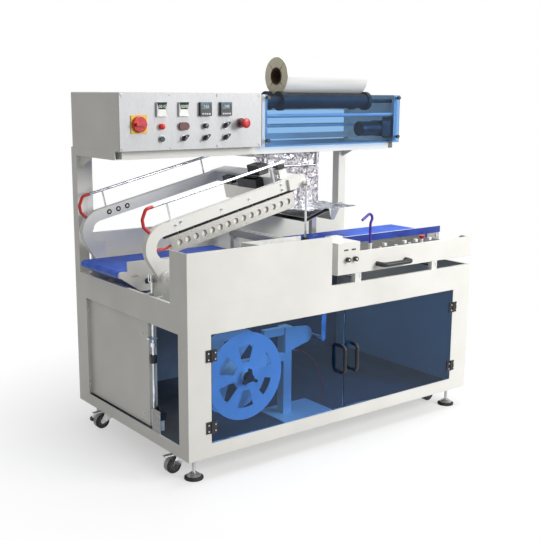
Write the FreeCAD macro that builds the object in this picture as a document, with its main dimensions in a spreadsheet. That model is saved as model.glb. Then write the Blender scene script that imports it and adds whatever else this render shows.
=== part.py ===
"""L-bar sealer: a floor-standing machine that wraps goods in centre-folded film.

Units are millimetres. Every piece is modelled from the cabinet's left front bottom corner,
with X to the right along the front, Y towards the back and Z up. Each piece's Placement
then carries it to the row's own origin, on the floor under the middle of the machine.
"""
import FreeCAD, Part
import math
import os
import Sketcher

doc = FreeCAD.newDocument("l_bar_sealer")
sheet = doc.addObject("Spreadsheet::Sheet", "Sizes")

# ---------------------------------------------------------------- driving dimensions
SIZES = (
    # cabinet
    ("cabinet_length", 1650, "left face to right face"),
    ("cabinet_depth", 980, "front face to back face"),
    ("cabinet_height", 632, "base to deck rim"),
    ("floor_gap", 100, "floor to cabinet base"),
    ("wall", 4, "cabinet sheet"),
    ("door_left", 110, "left edge of the door opening"),
    ("door_right", 1537, "right edge of the door opening"),
    ("door_low", 58, "bottom edge of the door opening"),
    ("side_front", 71, "front edge of the left opening"),
    ("side_low", 51, "bottom edge of the left opening"),
    ("cover_front", 335, "front edge of the recessed cover"),
    ("cover_recess", 18, "how far the left cover stands back"),
    ("cover_flange", 34, "lit return flange of the left cover"),
    ("rim", 15, "deck rim round the open well"),
    # upper front guard and rear table wall
    ("guard_length", 742, "upper front panel"),
    ("guard_return", 127, "left return of the upper front panel"),
    # rear frame
    ("post", 50, "square tube of the rear frame"),
    ("tube_wall", 4, "wall of the square tubes"),
    ("head_tube", 38, "square tube under the control box"),
    ("head_front", 560, "front of the overhead frame"),
    ("gusset", 3, "plate thickness of the gussets"),
    # control box
    ("box_length", 739, "control box along the front"),
    ("box_front", 512, "front face of the control panel"),
    ("panel_plate", 3, "brushed control panel"),
    ("box_round", 6, "folded corners of the control box"),
    ("box_sheet", 3, "control box sheet"),
    ("first_column", 202, "counter and push button column"),
    ("isolator_column", 92, "mains isolator"),
    ("isolator_radius", 34, "grip of the mains isolator"),
    ("isolator_plate", 76, "square backplate of the isolator"),
    ("stop_radius", 22, "emergency stop mushroom"),
    ("stop_reach", 58, "emergency stop from the panel"),
    ("display_side", 60, "temperature controller bezel"),
    ("counter_side", 50, "counter width"),
    ("selector_radius", 13, "selector bezel"),
    ("control_gap", 0.3, "running gap of the controls"),
    # film rack
    ("rack_left", 757, "left face of the rack"),
    ("rack_right", 1645, "right face of the rack"),
    ("rack_front", 512, "front face of the acrylic cover"),
    ("rack_plate", 6, "rack side plate"),
    ("rack_flange", 28, "front flange of a rack side plate"),
    ("acrylic", 5, "tinted acrylic sheet"),
    ("cover_inset", 10, "cover sheet from the rack's left face"),
    ("roll_radius", 89, "film roll"),
    ("roll_length", 520, "film width"),
    ("roll_left", 913, "left end of the film roll"),
    ("core_radius", 41, "cardboard core outside"),
    ("core_bore", 37.5, "cardboard core inside"),
    ("core_reach", 3, "core beyond the film"),
    ("roll_y", 625, "film roll axis"),
    ("cradle_radius", 38, "cradle roller"),
    ("cradle_half", 50, "half the cradle roller spacing"),
    ("cradle_shaft", 10, "cradle roller shaft"),
    ("disc_radius", 46, "rubber side disc"),
    ("disc_width", 22, "rubber side disc"),
    ("roll_gap", 0.3, "film roll to its rollers"),
    ("idler_radius", 9, "polished idler rods"),
    ("rod_left", 709, "rod the film turns over"),
    ("rod_length", 568, "rod the film turns over"),
    ("hanger", 6, "plates that hang the film rods"),
    ("guide_left", 823, "thin rod in front of the film"),
    ("guide_length", 336, "thin rod in front of the film"),
    ("rod_thin", 5, "thin rod in front of the film"),
    # film web and former
    ("web_thick", 3, "hanging film"),
    ("web_left", 758, "left edge of the hanging film"),
    ("web_right", 1178, "right edge of the hanging film"),
    ("web_y", 612, "back of the hanging film"),
    ("former_gap", 18, "between the former plates"),
    ("former_sheet", 2, "former plates"),
    # seal head
    ("pivot_x", 72, "seal frame pivot"),
    ("front_arm_y", 275, "front face of the front arm"),
    ("arm_thick", 30, "arm across"),
    ("arm_height", 50, "arm section"),
    ("arm_reach", 700, "arm end from the pivot"),
    ("hook_x", 36, "centre of the hook from the pivot"),
    ("hook_z", 118, "centre of the hook above the pivot"),
    ("hook_inner", 51, "inside radius of the hook"),
    ("hook_turn", 200, "angle at which the hook runs into its boss"),
    ("boss_radius", 27, "boss round the hinge shaft"),
    ("raise_angle", 13, "stored opening of the seal frame"),
    ("cross_width", 96, "cross arm along X"),
    ("cross_lap", 13, "cross arm beyond the arms"),
    ("shaft_radius", 12, "hinge shaft"),
    ("shaft_gap", 0.05, "hinge shaft in its bearings"),
    ("bracket_thick", 20, "hinge brackets"),
    ("bracket_gap", 6, "hinge bracket to arm"),
    ("inner_bracket", 14, "drive lever to the inner bracket"),
    ("shaft_end", 2, "stub shafts beyond their brackets"),
    ("knife_height", 70, "perforated knife guard"),
    ("knife_thick", 22, "perforated knife guard across"),
    ("knife_wall", 2, "sheet of the knife guard"),
    ("knife_gap", 13, "knife guard below the arm"),
    ("knife_left", 60, "knife guard start from the pivot"),
    ("knife_solid", 24, "solid ends of the knife guard"),
    ("knife_end", 726, "knife guard end from the pivot"),
    ("blade_thick", 5, "sealing blade"),
    ("blade_set", 3, "blade above the guard edge"),
    ("hole_radius", 13.5, "holes of the knife guard"),
    ("hole_count", 15, "holes of the knife guard"),
    ("hole_pitch", 42, "holes of the knife guard"),
    ("pin_radius", 4, "guide pins of the knife guard"),
    ("pin_length", 30, "guide pins of the knife guard"),
    ("rail_radius", 6, "polished guard rail"),
    ("rail_rise", 80, "guard rail above the arm"),
    ("rail_end", 20, "left end of the guard rail from the pivot"),
    ("sleeve_radius", 7, "red air hose"),
    # drive cylinder and lift strut
    ("lever", 42, "drive lever from the pivot"),
    ("lever_y", 313, "drive lever"),
    ("lever_thick", 10, "drive lever"),
    ("barrel_radius", 13, "drive cylinder"),
    ("barrel_low", 40, "bottom of the drive cylinder"),
    ("barrel_high", 134, "top of the drive cylinder"),
    ("drive_rod", 6, "drive cylinder rod"),
    ("drive_guide", 440, "rod guide"),
    ("strut_y", 248, "lift strut"),
    ("strut_pin_x", 784, "upper pivot from the seal frame pivot"),
    ("strut_pin_z", 182, "upper pivot above the seal frame pivot"),
    ("strut_outer", 15, "strut cylinder"),
    ("strut_bore", 11, "bore of the strut cylinder"),
    ("strut_length", 250, "strut cylinder"),
    ("strut_rod", 5, "strut rod"),
    ("strut_rod_length", 279, "strut rod"),
    ("strut_pin", 6, "strut pivots"),
    # lower jaw
    ("jaw_height", 34, "lower jaw section"),
    ("jaw_width", 44, "lower jaw section"),
    ("jaw_left", 150, "left end of the lower jaw"),
    ("pad_height", 4, "silicone strip"),
    ("pad_width", 16, "silicone strip"),
    ("bed_tube", 40, "beams under the jaw"),
    # discharge conveyor
    ("out_front", 490, "front edge of the discharge belt"),
    ("out_nose", 40, "nose beyond the cabinet"),
    ("out_right", 690, "inner end of the discharge belt"),
    ("out_leg", 120, "left legs of the discharge conveyor"),
    ("belt_radius", 17, "belt round its end rollers"),
    ("belt_thick", 2, "belt"),
    ("side_plate", 6, "conveyor side plates"),
    ("belt_gap", 1, "belt edge to side plate"),
    # infeed carriage
    ("in_front", 215, "front edge of the infeed belt"),
    ("in_rear", 537, "rear edge of the infeed belt"),
    ("in_left", 850, "left end of the infeed belt"),
    ("in_right", 1648, "right end of the infeed belt"),
    ("tray_left", 905, "left end of the infeed front panel"),
    ("tray_sheet", 3, "infeed sheet"),
    ("pod_left", 775, "left end of the adjuster pod"),
    ("pod_depth", 110, "adjuster pod"),
    ("slide_radius", 10, "carriage rails"),
    ("slide_gap", 0.05, "carriage rail in its bearing"),
    ("left_rail_x", 900, "left carriage rail"),
    ("right_rail_x", 1395, "right carriage rail"),
    ("block_width", 36, "rail end blocks"),
    ("block_depth", 24, "rail end blocks"),
    ("rail_length", 640, "carriage rails"),
    ("handle_left", 1012, "carriage handle"),
    ("handle_span", 180, "carriage handle"),
    ("handle_reach", 46, "carriage handle from the panel"),
    ("handle_radius", 11, "carriage handle"),
    # doors
    ("door_gap", 3, "gap round the doors"),
    ("door_split", 824, "meeting line of the doors"),
    ("hinge_reach", 26, "hinge leaf"),
    ("hinge_high", 50, "hinge leaf"),
    ("hinge_pin", 4, "hinge barrel"),
    ("lower_hinge", 128, "centre of the lower hinges"),
    ("pull_radius", 8, "door pulls"),
    ("pull_span", 120, "door pulls"),
    ("pull_reach", 38, "door pulls"),
    ("pull_z", 296, "centre of the door pulls"),
    # scrap reel
    ("reel_x", 333, "scrap reel axis"),
    ("reel_y", 75, "front disc of the scrap reel"),
    ("reel_z", 282, "scrap reel axis"),
    ("reel_radius", 190, "scrap reel"),
    ("reel_sheet", 3, "scrap reel discs"),
    ("reel_width", 100, "between the discs"),
    ("reel_core", 42, "winding core"),
    ("reel_hub", 26, "front boss"),
    ("window_in", 62, "inner edge of the windows"),
    ("window_out", 138, "outer edge of the windows"),
    ("window_count", 6, "windows"),
    ("axle_radius", 10, "scrap reel axle"),
    ("axle_gap", 0.05, "axle in its bearing"),
    ("stand_x", 640, "scrap reel post"),
    ("stand_y", 205, "scrap reel post"),
    ("stand_width", 46, "scrap reel post"),
    # feet and casters
    ("foot_inset", 62, "levelling feet from the corners"),
    ("foot_radius", 40, "levelling foot pad"),
    ("foot_stem", 7, "levelling foot stem"),
    ("caster_x", 65, "caster stem from the cabinet end"),
    ("front_caster_y", 160, "front casters"),
    ("wheel_radius", 35, "caster wheel"),
    ("wheel_width", 26, "caster wheel"),
    ("wheel_trail", 45, "caster trail"),
    ("wheel_lift", 2, "wheels off the floor on the feet"),
    ("wheel_axle", 5, "caster axle"),
    ("wheel_gap", 0.05, "wheel on its axle"),
)
# Places measured from another size: name, the size it starts at, the distance, what it is.
FOLLOWS = (
    ("well_rear", "cabinet_depth", -76, "rear edge of the open well"),
    ("rear_wall_front", "cabinet_depth", -75, "front face of the rear table wall"),
    ("side_rear", "cabinet_depth", -104, "rear edge of the left opening"),
    ("box_rear", "cabinet_depth", -12, "back of the control box"),
    ("rack_rear", "cabinet_depth", -40, "rear of the rack plates"),
    ("rear_arm_y", "cabinet_depth", -134, "front face of the rear arm"),
    ("knife_rear", "cabinet_depth", -180, "rear end of the cross knife guard"),
    ("out_rear", "cabinet_depth", -145, "rear edge of the discharge belt"),
    ("rear_caster_y", "cabinet_depth", -180, "rear casters"),
    ("door_high", "cabinet_height", -117, "top edge of the door opening"),
    ("side_high", "cabinet_height", -115, "top edge of the left opening"),
    ("guard_high", "cabinet_height", 218, "top of the upper front panel"),
    ("rear_wall_high", "cabinet_height", 182, "top of the rear table wall"),
    ("box_low", "cabinet_height", 578, "underside of the control box"),
    ("box_high", "box_low", 247, "top of the control box"),
    ("upper_row", "box_low", 175, "height of the displays"),
    ("middle_row", "box_low", 102, "height of the middle row of controls"),
    ("lower_row", "box_low", 49, "height of the lower row of controls"),
    ("isolator_row", "box_low", 113, "mains isolator"),
    ("stop_row", "box_low", 112, "emergency stop"),
    ("second_column", "first_column", 111, "second counter column"),
    ("third_column", "second_column", 112, "first temperature controller column"),
    ("fourth_column", "third_column", 109, "second temperature controller column"),
    ("stop_column", "fourth_column", 83, "emergency stop"),
    ("rack_low", "box_low", -3, "bottom of the rack"),
    ("rack_high", "rack_low", 243, "top of the rack"),
    ("cradle_z", "rack_high", -30, "cradle roller axis"),
    ("guide_rod_z", "box_low", -105, "thin rod in front of the film"),
    ("web_low", "cabinet_height", 273, "bottom of the hanging film"),
    ("web_high", "box_low", -24, "top of the hanging film"),
    ("former_z", "cabinet_height", 248, "lower former plate"),
    ("pivot_z", "cabinet_height", 73, "seal frame pivot"),
    ("jaw_high", "cabinet_height", 154, "top of the lower jaw"),
    ("bed_high", "cabinet_height", -32, "top of the beams under the jaw"),
    ("strut_z", "cabinet_height", -72, "lower pivot of the lift strut"),
    ("out_top", "cabinet_height", 74, "discharge belt"),
    ("side_guide_high", "out_top", 39, "white guide beside the discharge belt"),
    ("in_top", "cabinet_height", 136, "infeed belt"),
    ("tray_low", "in_top", -94, "bottom of the infeed front panel"),
    ("tray_high", "in_top", 0, "top of the infeed front panel"),
    ("pod_high", "in_top", 47, "top of the adjuster pod"),
    ("rail_z", "cabinet_height", 23, "carriage rails"),
    ("upper_hinge", "door_high", -87, "centre of the upper hinges"),
)

for line, (name, value, meaning) in enumerate(SIZES, start=1):
    sheet.set(f"A{line}", name)
    sheet.set(f"B{line}", str(value))
    sheet.setAlias(f"B{line}", name)
    sheet.set(f"C{line}", meaning)
for line, (name, start, distance, meaning) in enumerate(FOLLOWS, start=len(SIZES) + 1):
    sheet.set(f"A{line}", name)
    sheet.set(f"B{line}", f"={start} + {distance}")
    sheet.setAlias(f"B{line}", name)
    sheet.set(f"C{line}", meaning)
doc.recompute()


class Size:
    """A length or angle: its number, and the sheet expression that gives it."""

    def __init__(self, value, text):
        self.value = float(value)
        self.text = text

    def __add__(self, other):
        other = size_of(other)
        return Size(self.value + other.value, f"({self.text} + {other.text})")

    def __sub__(self, other):
        other = size_of(other)
        return Size(self.value - other.value, f"({self.text} - {other.text})")

    def __mul__(self, other):
        other = size_of(other)
        return Size(self.value * other.value, f"({self.text} * {other.text})")

    def __truediv__(self, other):
        other = size_of(other)
        return Size(self.value / other.value, f"({self.text} / {other.text})")

    def __radd__(self, other):
        return size_of(other) + self

    def __rsub__(self, other):
        return size_of(other) - self

    def __rmul__(self, other):
        return size_of(other) * self

    def __neg__(self):
        return Size(-self.value, f"(-{self.text})")


def size_of(number):
    """A plain number as a Size."""
    if isinstance(number, Size):
        return number
    return Size(number, f"({float(number)!r})")


def cosine(angle):
    angle = size_of(angle)
    return Size(math.cos(math.radians(angle.value)), f"cos({angle.text})")


def sine(angle):
    angle = size_of(angle)
    return Size(math.sin(math.radians(angle.value)), f"sin({angle.text})")


def root(number):
    return Size(math.sqrt(number.value), f"sqrt({number.text})")


class Sheet:
    """Each name of the sheet as a Size: S.post is the post's width."""

    def __init__(self):
        for name, value, _ in SIZES:
            setattr(self, name, Size(value, f"Sizes.{name}"))
        for name, start, distance, _ in FOLLOWS:
            setattr(self, name, Size(getattr(self, start).value + distance, f"Sizes.{name}"))


S = Sheet()

# The row's origin is under the middle of the machine's bounding box.
reach_front = S.handle_reach + S.handle_radius
LEFT = -(S.cabinet_length - S.out_nose) / 2
FRONT = -(S.cabinet_depth - reach_front) / 2
BASE = S.floor_gap
MACHINE = (LEFT, FRONT, BASE)

TURN = {
    "x": FreeCAD.Rotation(FreeCAD.Vector(0, 1, 0), 90),
    "y": FreeCAD.Rotation(FreeCAD.Vector(1, 0, 0), -90),
    "z": FreeCAD.Rotation(),
}


# ---------------------------------------------------------------- ways of making a piece
def bind(piece, path, number):
    piece.setExpression(path, size_of(number).text)


def place(piece, at, rotation=None):
    """Ties a piece's place to the sheet."""
    if rotation is not None:
        piece.Placement = FreeCAD.Placement(FreeCAD.Vector(), rotation)
    for axis, number in zip("xyz", at):
        bind(piece, f"Placement.Base.{axis}", number)
    return piece


def box(x, y, z):
    """A block between a low and a high limit along each axis."""
    block = doc.addObject("Part::Box", "Block")
    for side, (low, high) in zip(("Length", "Width", "Height"), (x, y, z)):
        bind(block, side, size_of(high) - low)
    return place(block, (x[0], y[0], z[0]))


def bar(axis, at, radius, length):
    """A round bar from a point along an axis."""
    rod = doc.addObject("Part::Cylinder", "Bar")
    bind(rod, "Radius", radius)
    bind(rod, "Height", length)
    return place(rod, at, TURN[axis])


def cone(axis, at, low_radius, high_radius, length):
    """A taper from a point along an axis."""
    taper = doc.addObject("Part::Cone", "Taper")
    bind(taper, "Radius1", low_radius)
    bind(taper, "Radius2", high_radius)
    bind(taper, "Height", length)
    return place(taper, at, TURN[axis])


def ball(at, radius):
    sphere = doc.addObject("Part::Sphere", "Ball")
    bind(sphere, "Radius", radius)
    return place(sphere, at)


def fuse(*pieces):
    """One solid from touching pieces."""
    joined = doc.addObject("Part::MultiFuse", "Joined")
    joined.Shapes = list(pieces)
    joined.Refine = True
    return joined


def group(*pieces):
    """Separate solids in one node."""
    if len(pieces) == 1:
        return pieces[0]
    several = doc.addObject("Part::Compound", "Group")
    several.Links = list(pieces)
    return several


def cut(piece, *tools):
    """A piece less its tools."""
    less = doc.addObject("Part::Cut", "Less")
    less.Base = piece
    less.Tool = group(*tools)
    return less


def tube(axis, at, radius, bore, length):
    return cut(bar(axis, at, radius, length), bar(axis, at, bore, length))


def shifted(at, x=0, y=0, z=0):
    """A place moved along the axes."""
    return (size_of(at[0]) + x, size_of(at[1]) + y, size_of(at[2]) + z)


NODES = []


def node(label, piece, at=MACHINE, rotation=None):
    """Names a finished sub-part and ties its Placement to the sheet."""
    piece.Label = label
    place(piece, at, rotation)
    NODES.append(piece)
    return piece


def leaning(piece, angle):
    """Ties a turn about +Y to the sheet, for pieces stored raised."""
    piece.Placement = FreeCAD.Placement(
        piece.Placement.Base, FreeCAD.Rotation(FreeCAD.Vector(0, 1, 0), 1)
    )
    bind(piece, "Placement.Rotation.Angle", angle)
    return piece


# ---------------------------------------------------------------- sketches and their pads
class Arc:
    """A stretch of an outline: centre, radius, and the angles it runs between, in degrees."""

    def __init__(self, a, b, radius, start, end):
        self.a, self.b, self.radius = size_of(a), size_of(b), size_of(radius)
        self.start, self.end = size_of(start), size_of(end)

    def point(self, angle):
        return (self.a + self.radius * cosine(angle), self.b + self.radius * sine(angle))


PLANES = {"z": "XY_Plane", "y": "XZ_Plane", "x": "YZ_Plane"}


def body_called(name):
    return doc.addObject("PartDesign::Body", name)


def sketch_on(body, normal, offset):
    """An empty sketch square to an axis, at a distance along it."""
    sketch = body.newObject("Sketcher::SketchObject", "Outline")
    plane = [f for f in body.Origin.OriginFeatures if f.Role == PLANES[normal]][0]
    sketch.AttachmentSupport = [(plane, "")]
    sketch.MapMode = "FlatFace"
    along = -size_of(offset) if normal == "y" else size_of(offset)
    bind(sketch, "AttachmentOffset.Base.z", along)
    return sketch


def pin_down(sketch, shape, end, direction, number):
    """One coordinate of one point of a sketch, from the sheet."""
    number = size_of(number)
    place_in_list = sketch.addConstraint(
        Sketcher.Constraint("Distance" + direction, -1, 1, shape, end, number.value)
    )
    sketch.setExpression(f"Constraints[{place_in_list}]", number.text)


def vector(point):
    return FreeCAD.Vector(size_of(point[0]).value, size_of(point[1]).value, 0)


def draw_outline(sketch, path):
    """A closed outline of corners and arcs, each point held by the sheet."""
    stops = []
    for item in path:
        if isinstance(item, Arc):
            stops.append((item, item.point(item.start), item.point(item.end)))
        else:
            stops.append((None, item, item))
    first_end = None
    last_end = None
    joined = False
    for number, (arc, enter, leave) in enumerate(stops):
        following = stops[(number + 1) % len(stops)]
        if arc is not None:
            start, end = arc.start.value, arc.end.value
            low, high = (start, end) if end > start else (end, start)
            circle = Part.Circle(vector((arc.a, arc.b)), FreeCAD.Vector(0, 0, 1), arc.radius.value)
            curve = Part.ArcOfCircle(circle, math.radians(low), math.radians(high))
            shape = sketch.addGeometry(curve, False)
            pin_down(sketch, shape, 3, "X", arc.a)
            pin_down(sketch, shape, 3, "Y", arc.b)
            held = sketch.addConstraint(Sketcher.Constraint("Radius", shape, arc.radius.value))
            sketch.setExpression(f"Constraints[{held}]", arc.radius.text)
            enter_end, leave_end = (1, 2) if end > start else (2, 1)
            for where, angle, point in ((enter_end, start, enter), (leave_end, end, leave)):
                upright = abs(math.sin(math.radians(angle))) > abs(math.cos(math.radians(angle)))
                pin_down(sketch, shape, where, "X" if upright else "Y", point[0 if upright else 1])
            if last_end is not None and not joined:
                sketch.addConstraint(
                    Sketcher.Constraint("Coincident", last_end[0], last_end[1], shape, enter_end)
                )
            if first_end is None:
                first_end = (shape, enter_end)
            last_end = (shape, leave_end)
        gap = vector(leave).distanceToPoint(vector(following[1]))
        joined = gap < 1e-6
        if joined:
            continue
        line = sketch.addGeometry(Part.LineSegment(vector(leave), vector(following[1])), False)
        if last_end is not None:
            sketch.addConstraint(
                Sketcher.Constraint("Coincident", last_end[0], last_end[1], line, 1)
            )
        else:
            first_end = (line, 1)
        if following[0] is None and number + 1 < len(stops):
            pin_down(sketch, line, 2, "X", following[1][0])
            pin_down(sketch, line, 2, "Y", following[1][1])
        if first_end == (line, 1) and stops[0][0] is None:
            pin_down(sketch, line, 1, "X", leave[0])
            pin_down(sketch, line, 1, "Y", leave[1])
        last_end = (line, 2)
    if not joined:
        sketch.addConstraint(
            Sketcher.Constraint("Coincident", last_end[0], last_end[1], first_end[0], first_end[1])
        )


def draw_circle(sketch, a, b, radius):
    """A full circle held by the sheet."""
    circle = Part.Circle(vector((a, b)), FreeCAD.Vector(0, 0, 1), size_of(radius).value)
    shape = sketch.addGeometry(circle, False)
    pin_down(sketch, shape, 3, "X", a)
    pin_down(sketch, shape, 3, "Y", b)
    held = sketch.addConstraint(Sketcher.Constraint("Radius", shape, size_of(radius).value))
    sketch.setExpression(f"Constraints[{held}]", size_of(radius).text)


def rectangle(a, b):
    """The corners of a rectangle between two pairs of limits."""
    return [(a[0], b[0]), (a[1], b[0]), (a[1], b[1]), (a[0], b[1])]


def pad(body, normal, offset, depth, path=(), circles=()):
    """Material from a plane, along the axis."""
    sketch = sketch_on(body, normal, offset)
    if path:
        draw_outline(sketch, path)
    for circle in circles:
        draw_circle(sketch, *circle)
    feature = body.newObject("PartDesign::Pad", "Pad")
    feature.Profile = sketch
    bind(feature, "Length", depth)
    feature.Reversed = normal == "y"
    return feature


def pocket(body, normal, offset, depth, path=(), circles=()):
    """A cut from a plane, along the axis."""
    sketch = sketch_on(body, normal, offset)
    if path:
        draw_outline(sketch, path)
    for circle in circles:
        draw_circle(sketch, *circle)
    feature = body.newObject("PartDesign::Pocket", "Pocket")
    feature.Profile = sketch
    bind(feature, "Length", depth)
    feature.Reversed = normal != "y"
    return feature


def repeat_round(body, feature, axis, count):
    """Copies of a cut round one of the body's own axes."""
    pattern = body.newObject("PartDesign::PolarPattern", "Round")
    pattern.Originals = [feature]
    pattern.Axis = ([f for f in body.Origin.OriginFeatures if f.Role == axis][0], [""])
    pattern.Angle = 360
    bind(pattern, "Occurrences", count)
    body.Tip = pattern
    return pattern


def repeat_along(body, feature, axis, length, count):
    """Copies of a cut along one of the body's own axes."""
    pattern = body.newObject("PartDesign::LinearPattern", "Row")
    pattern.Originals = [feature]
    pattern.Direction = ([f for f in body.Origin.OriginFeatures if f.Role == axis][0], [""])
    bind(pattern, "Length", length)
    bind(pattern, "Occurrences", count)
    body.Tip = pattern
    return pattern


def revolved(body, path, angle=360):
    """A turned piece: an outline of (along Y, radius) points, spun about the body's Y axis."""
    sketch = sketch_on(body, "x", 0)
    draw_outline(sketch, path)
    feature = body.newObject("PartDesign::Revolution", "Turned")
    feature.Profile = sketch
    feature.ReferenceAxis = (sketch, ["H_Axis"])
    feature.Angle = angle
    return feature


def bent_tube(points, radius, bends, bore=None):
    """A round tube along straight runs joined by tangent arcs; returns its solid."""
    corners = [FreeCAD.Vector(*[size_of(c).value for c in p]) for p in points]
    if not isinstance(bends, (list, tuple)):
        bends = [bends] * (len(corners) - 2)
    edges = []
    start = corners[0]
    for before, corner, after, bend in zip(corners, corners[1:], corners[2:], bends):
        into = (corner - before).normalize()
        out = (after - corner).normalize()
        turn = into.getAngle(out)
        setback = size_of(bend).value * math.tan(turn / 2)
        tangent_in = corner - into * setback
        tangent_out = corner + out * setback
        across = (out - into).normalize()
        centre = corner + across * (size_of(bend).value / math.cos(turn / 2))
        middle = centre - across * size_of(bend).value
        edges.append(Part.LineSegment(start, tangent_in).toShape())
        edges.append(Part.Arc(tangent_in, middle, tangent_out).toShape())
        start = tangent_out
    edges.append(Part.LineSegment(start, corners[-1]).toShape())
    path = Part.Wire(edges)
    heading = (corners[1] - corners[0]).normalize()

    def swept(size):
        ring = Part.Wire([Part.makeCircle(size_of(size).value, corners[0], heading)])
        return path.makePipeShell([ring], True, False)

    solid = swept(radius)
    if bore is not None:
        solid = solid.cut(swept(bore))
    return solid


def feature_of(shape):
    piece = doc.addObject("Part::Feature", "Shaped")
    piece.Shape = shape
    return piece


# ---------------------------------------------------------------- cabinet
def make_cabinet():
    """Folded sheet cabinet, open at the front and left and along the top well."""
    body = body_called("cabinet_body")
    length, depth, height, wall = S.cabinet_length, S.cabinet_depth, S.cabinet_height, S.wall
    pad(body, "z", 0, height, rectangle((0, length), (0, depth)))
    pocket(body, "z", wall, height - 2 * wall, rectangle((wall, length - wall), (wall, depth - wall)))
    pocket(body, "z", height - wall, wall, rectangle((S.rim, length - S.rim), (S.rim, S.well_rear)))
    pocket(body, "y", 0, wall, rectangle((S.door_left, S.door_right), (S.door_low, S.door_high)))
    pocket(body, "x", 0, wall, rectangle((S.side_front, S.side_rear), (S.side_low, S.side_high)))
    node("cabinet_body", body)


rim_lap = 12


def make_left_cover():
    """Cover plate set back in the left opening, with a folded flange at its front edge."""
    body = body_called("left_cover")
    low, high = S.side_low + 1, S.side_high - 1
    pad(body, "x", S.cover_recess, S.wall, rectangle((S.cover_front, S.side_rear + rim_lap), (low, high)))
    inner = S.cover_recess + S.wall
    pad(body, "x", inner, S.cover_flange, rectangle((S.cover_front, S.cover_front + S.wall), (low, high)))
    pad(
        body, "x", S.wall, S.cover_recess - S.wall,
        rectangle((S.side_rear + rim_lap - S.wall, S.side_rear + rim_lap), (low, high)),
    )
    node("left_cover", body)


guard_fold = 34


def make_guards():
    """Upper front panel with its left return, and the rear table wall."""
    body = body_called("guard_panel")
    wall = S.wall
    low, high = S.cabinet_height, S.guard_high
    pad(
        body, "z", low, high - low,
        [
            (0, 0), (S.guard_length, 0), (S.guard_length, guard_fold), (S.guard_length - wall, guard_fold),
            (S.guard_length - wall, wall), (wall, wall), (wall, S.guard_return), (0, S.guard_return),
        ],
    )
    node("guard_panel", body)

    body = body_called("rear_wall")
    front = S.rear_wall_front
    rear = S.cabinet_depth - S.post - 1
    high = S.rear_wall_high
    left, right = S.post + 12, S.cabinet_length - S.post - 12
    pad(body, "y", front, wall, rectangle((left, right), (S.cabinet_height, high)))
    pad(body, "z", high - wall, wall, rectangle((left, right), (front + wall, rear)))
    node("rear_wall", body)


# ---------------------------------------------------------------- rear frame and overhead frame
def square_tube(axis, at, side, length, wall):
    """A square hollow section, its bore open at both ends."""
    x, y, z = at
    if axis == "z":
        outer = box((x, x + side), (y, y + side), (z, z + length))
        inner = box((x + wall, x + side - wall), (y + wall, y + side - wall), (z, z + length))
    elif axis == "y":
        outer = box((x, x + side), (y, y + length), (z, z + side))
        inner = box((x + wall, x + side - wall), (y, y + length), (z + wall, z + side - wall))
    else:
        outer = box((x, x + length), (y, y + side), (z, z + side))
        inner = box((x, x + length), (y + wall, y + side - wall), (z + wall, z + side - wall))
    return cut(outer, inner)


plate_reach = 46
plate_rise = 188
gusset_reach = 130
gusset_drop = 60


def make_rear_frame():
    """Two posts, the top beam and the rails that carry the control box and the film rack."""
    post, wall, head = S.post, S.tube_wall, S.head_tube
    back = S.cabinet_depth - post
    right = S.cabinet_length - post
    top = S.box_low
    rail_low = top - head
    left_post = square_tube("z", (size_of(0), back, S.cabinet_height), post, top - S.cabinet_height, wall)
    right_post = square_tube("z", (right, back, S.cabinet_height), post, top - S.cabinet_height, wall)
    beam = square_tube("x", (post, back, top - post), post, right - post, wall)
    left_rail = square_tube("y", (size_of(0), S.head_front, rail_low), head, back - S.head_front, wall)
    right_rail = square_tube(
        "y", (S.cabinet_length - head, S.head_front, rail_low), head, back - S.head_front, wall
    )
    front_rail = square_tube(
        "x", (head, S.head_front, rail_low), head, S.cabinet_length - 2 * head, wall
    )
    plate = box(
        (post, post + plate_reach), (back + head, back + head + S.gusset),
        (S.cabinet_height + plate_rise, rail_low),
    )
    gussets = []
    for left in (size_of(0), S.cabinet_length - head):
        brace = body_called("brace")
        pad(
            brace, "x", left + (head - S.gusset) / 2, S.gusset,
            [(back - gusset_reach, rail_low), (back, rail_low), (back, rail_low - gusset_drop)],
        )
        gussets.append(brace)
    node(
        "rear_frame",
        fuse(left_post, right_post, beam, left_rail, right_rail, front_rail, plate, *gussets),
    )


# ---------------------------------------------------------------- control box and its controls
panel_edge = 1
screw_inset = 14
screw_high = 2
screw_radius = 4


def make_control_box():
    """Sheet box with folded corners, and its brushed front plate with fixing screws."""
    front = S.box_front + S.panel_plate
    body = body_called("control_box")
    pad(body, "x", 0, S.box_length, rectangle((front, S.box_rear), (S.box_low, S.box_high)))
    doc.recompute()
    block = body.Tip
    folds = body.newObject("PartDesign::Fillet", "Folds")
    rear_edges = []
    for number, edge in enumerate(block.Shape.Edges, start=1):
        middle = edge.CenterOfMass
        at_rear = abs(middle.y - S.box_rear.value) < 1e-3
        along = abs(middle.x - S.box_length.value / 2) < 1e-3
        upper = abs(middle.z - S.box_high.value) < 1e-3
        if at_rear or (upper and not along):
            rear_edges.append(f"Edge{number}")
    folds.Base = (block, rear_edges)
    bind(folds, "Radius", S.box_round)
    skin = S.box_sheet
    pocket(
        body, "y", front, S.box_rear - skin - front,
        rectangle((skin, S.box_length - skin), (S.box_low + skin, S.box_high - skin)),
    )
    node("control_box", body)

    plate = body_called("control_panel")
    pad(
        plate, "y", S.box_front, S.panel_plate,
        rectangle(
            (panel_edge, S.box_length - panel_edge), (S.box_low + panel_edge, S.box_high - panel_edge)
        ),
    )
    for row in (S.box_low + screw_inset, S.box_high - screw_inset):
        for column in (size_of(screw_inset), S.box_length * 2 / 3, S.box_length - screw_inset):
            pad(plate, "y", S.box_front - screw_high, screw_high, circles=[(column, row, screw_radius)])
    node("control_panel", plate)


bezel_edge = 8
window_depth = 2


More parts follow.
